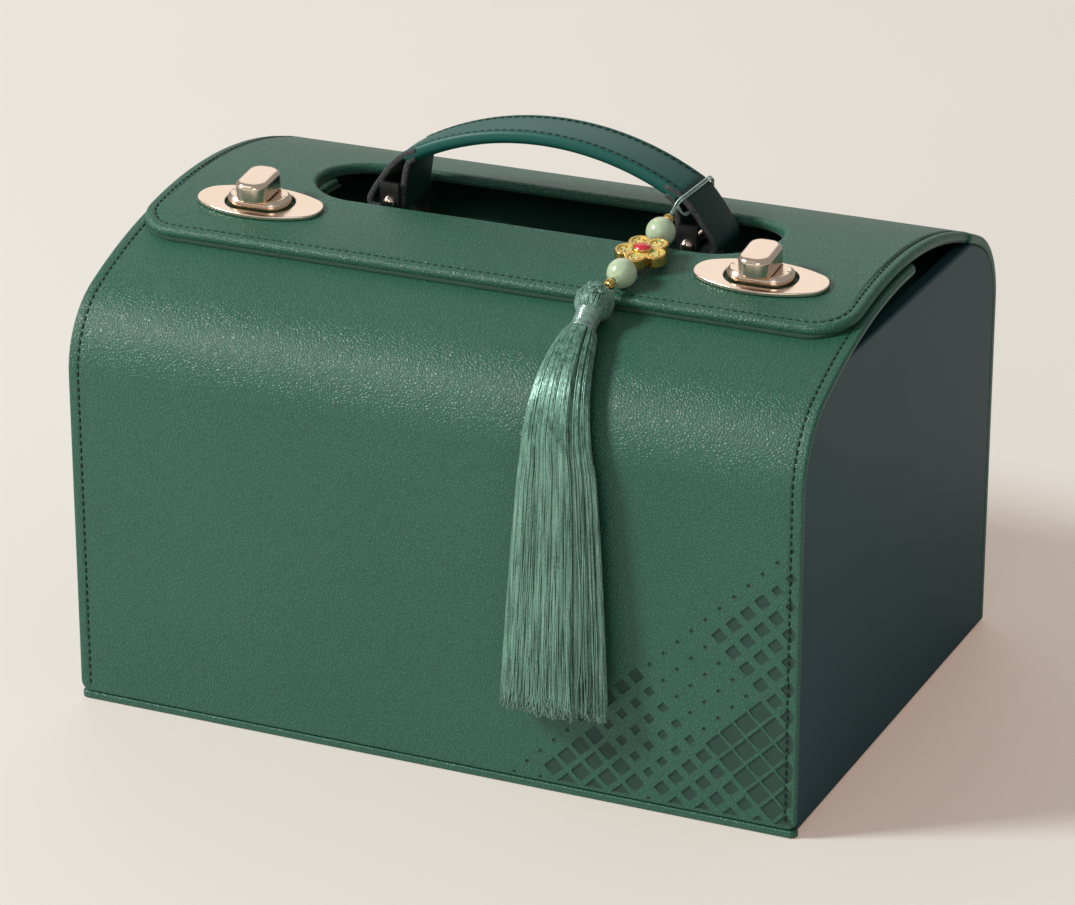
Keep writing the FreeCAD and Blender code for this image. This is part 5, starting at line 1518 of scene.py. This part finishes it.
binding_silk = silk("binding_silk", *binding_tones, (0.5, 1.0, 1.0), 0.20, 1.0)
shape = turned(profile, binding_top, head_way, 56)
binding = make_piece(
    "tassel_binding_turns", shape, None, binding_silk, "carcass", "silk", "tassel_binding"
)

# Tassel skirt: a bundle of silk threads in loose locks. It bends round the front corner of the case
# and hangs down the leaf, widening to a cut end where the threads' tips are ragged.

corner_middle_y, corner_middle_z, skirt_start = -73.0, 135.0, math.radians(13.9)
skirt_corner_share, skirt_top_x, skirt_line_x, skirt_low = 0.358, 52.6, 56.4, 38.5
above_leaf = 1
top_half_wide, corner_wider, fall_wider = 6, 8.5, 7
top_half_deep, corner_half_deep, fall_deeper = 5.04, 4.03, 2.47


def skirt_place(share, wide, deep):
    """A point in the skirt: share down its length, and -1 to 1 of its half width and half depth."""
    share = np.asarray(share, float)
    turn = np.clip(share / skirt_corner_share, 0, 1)
    fall = np.clip((share - skirt_corner_share) / (1 - skirt_corner_share), 0, None)
    # It widens over the corner and again on its way down, and lies flatter from the corner on.
    half_wide = top_half_wide + corner_wider * turn ** 0.75 + fall_wider * fall ** 0.7
    half_deep = top_half_deep * (1 - turn) + corner_half_deep * turn + fall_deeper * fall
    angle = skirt_start + (math.pi / 2 - skirt_start) * turn
    out = corner_round + half_deep + above_leaf + half_deep * deep
    x = skirt_top_x + (skirt_line_x - skirt_top_x) * turn + half_wide * wide
    y = corner_middle_y - out * np.sin(angle)
    z = corner_middle_z + out * np.cos(angle) - (corner_middle_z - skirt_low) * fall
    return np.stack((x, y, z), axis=-1)


skirt_threads, skirt_stops, locks = 900, 38, 60
longest, above_top, thread_radius = 1.012, -0.012, 0.31
lock_turn = chance.uniform(0, math.tau, locks)
lock_phase = chance.uniform(0, math.tau, locks)
lock_drift = chance.normal(0, 0.08, locks)
down = np.linspace(above_top, 1.0, skirt_stops)
threads, thins = [], []
for number in range(skirt_threads):
    lock = number % locks
    turn = lock_turn[lock] + chance.normal(0, 0.09 + 0.02 * (number % 3))
    fill = 1 - 0.36 * chance.random() ** 1.4
    long = 0.998 + chance.normal(0, 0.009) - 0.02 * abs(chance.normal(0, 0.5)) ** 3
    stray = chance.normal(0, 0.022) if number % 7 else chance.normal(0, 0.06)
    phase = chance.uniform(0, math.tau)
    share = down * min(long, longest)
    gone = np.clip(share, 0, 1)
    sway = lock_drift[lock] * np.sin(gone * 5.2 + lock_phase[lock]) * gone ** 0.5
    wave = stray * np.sin(gone * 11 + phase) * gone + 0.010 * np.sin(gone * 31 + phase) * gone
    flare = 0.10 * np.clip((gone - 0.95) / 0.05, 0, 1) ** 2 * chance.normal(0, 1)
    wide = np.cos(turn + 0.6 * sway) * fill + wave + 0.5 * sway + flare
    deep = np.sin(turn + 0.6 * sway) * fill + wave * 0.6
    length = np.maximum(1, np.hypot(wide, deep))
    threads.append(skirt_place(share, wide / length, deep / length))
    gathered, tip = np.clip(1 - gone / 0.3, 0, 1), gone > 0.985
    thins.append(thread_radius - 0.06 * gathered - 0.04 * tip)
skirt_points, skirt_faces = tubes(threads, thins, 4)
core_sides, core_full = 40, 0.60
core_shares = np.linspace(above_top, 0.985, 40)
core_turns = np.linspace(0, math.tau, core_sides, endpoint=False)
core_wide, core_deep = core_full * np.cos(core_turns), core_full * np.sin(core_turns)
core = np.array([skirt_place(share, core_wide, core_deep) for share in core_shares])
index = np.arange(core.shape[0] * core_sides).reshape(-1, core_sides)
after = np.roll(index, -1, axis=1)
core_faces = np.stack((index[:-1], after[:-1], after[1:], index[1:]), axis=-1)
core_faces = core_faces.reshape(-1, 4).tolist()
core_faces += [index[0, ::-1].tolist(), index[-1].tolist()]
start = len(skirt_points)
skirt_faces = skirt_faces + [[place + start for place in face] for face in core_faces]
skirt_points = np.concatenate((skirt_points, core.reshape(-1, 3)))
shape = (skirt_points, skirt_faces)
skirt = make_piece("tassel_threads", shape, None, tassel_silk, "carcass", "silk", "tassel_skirt")
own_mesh(skirt)
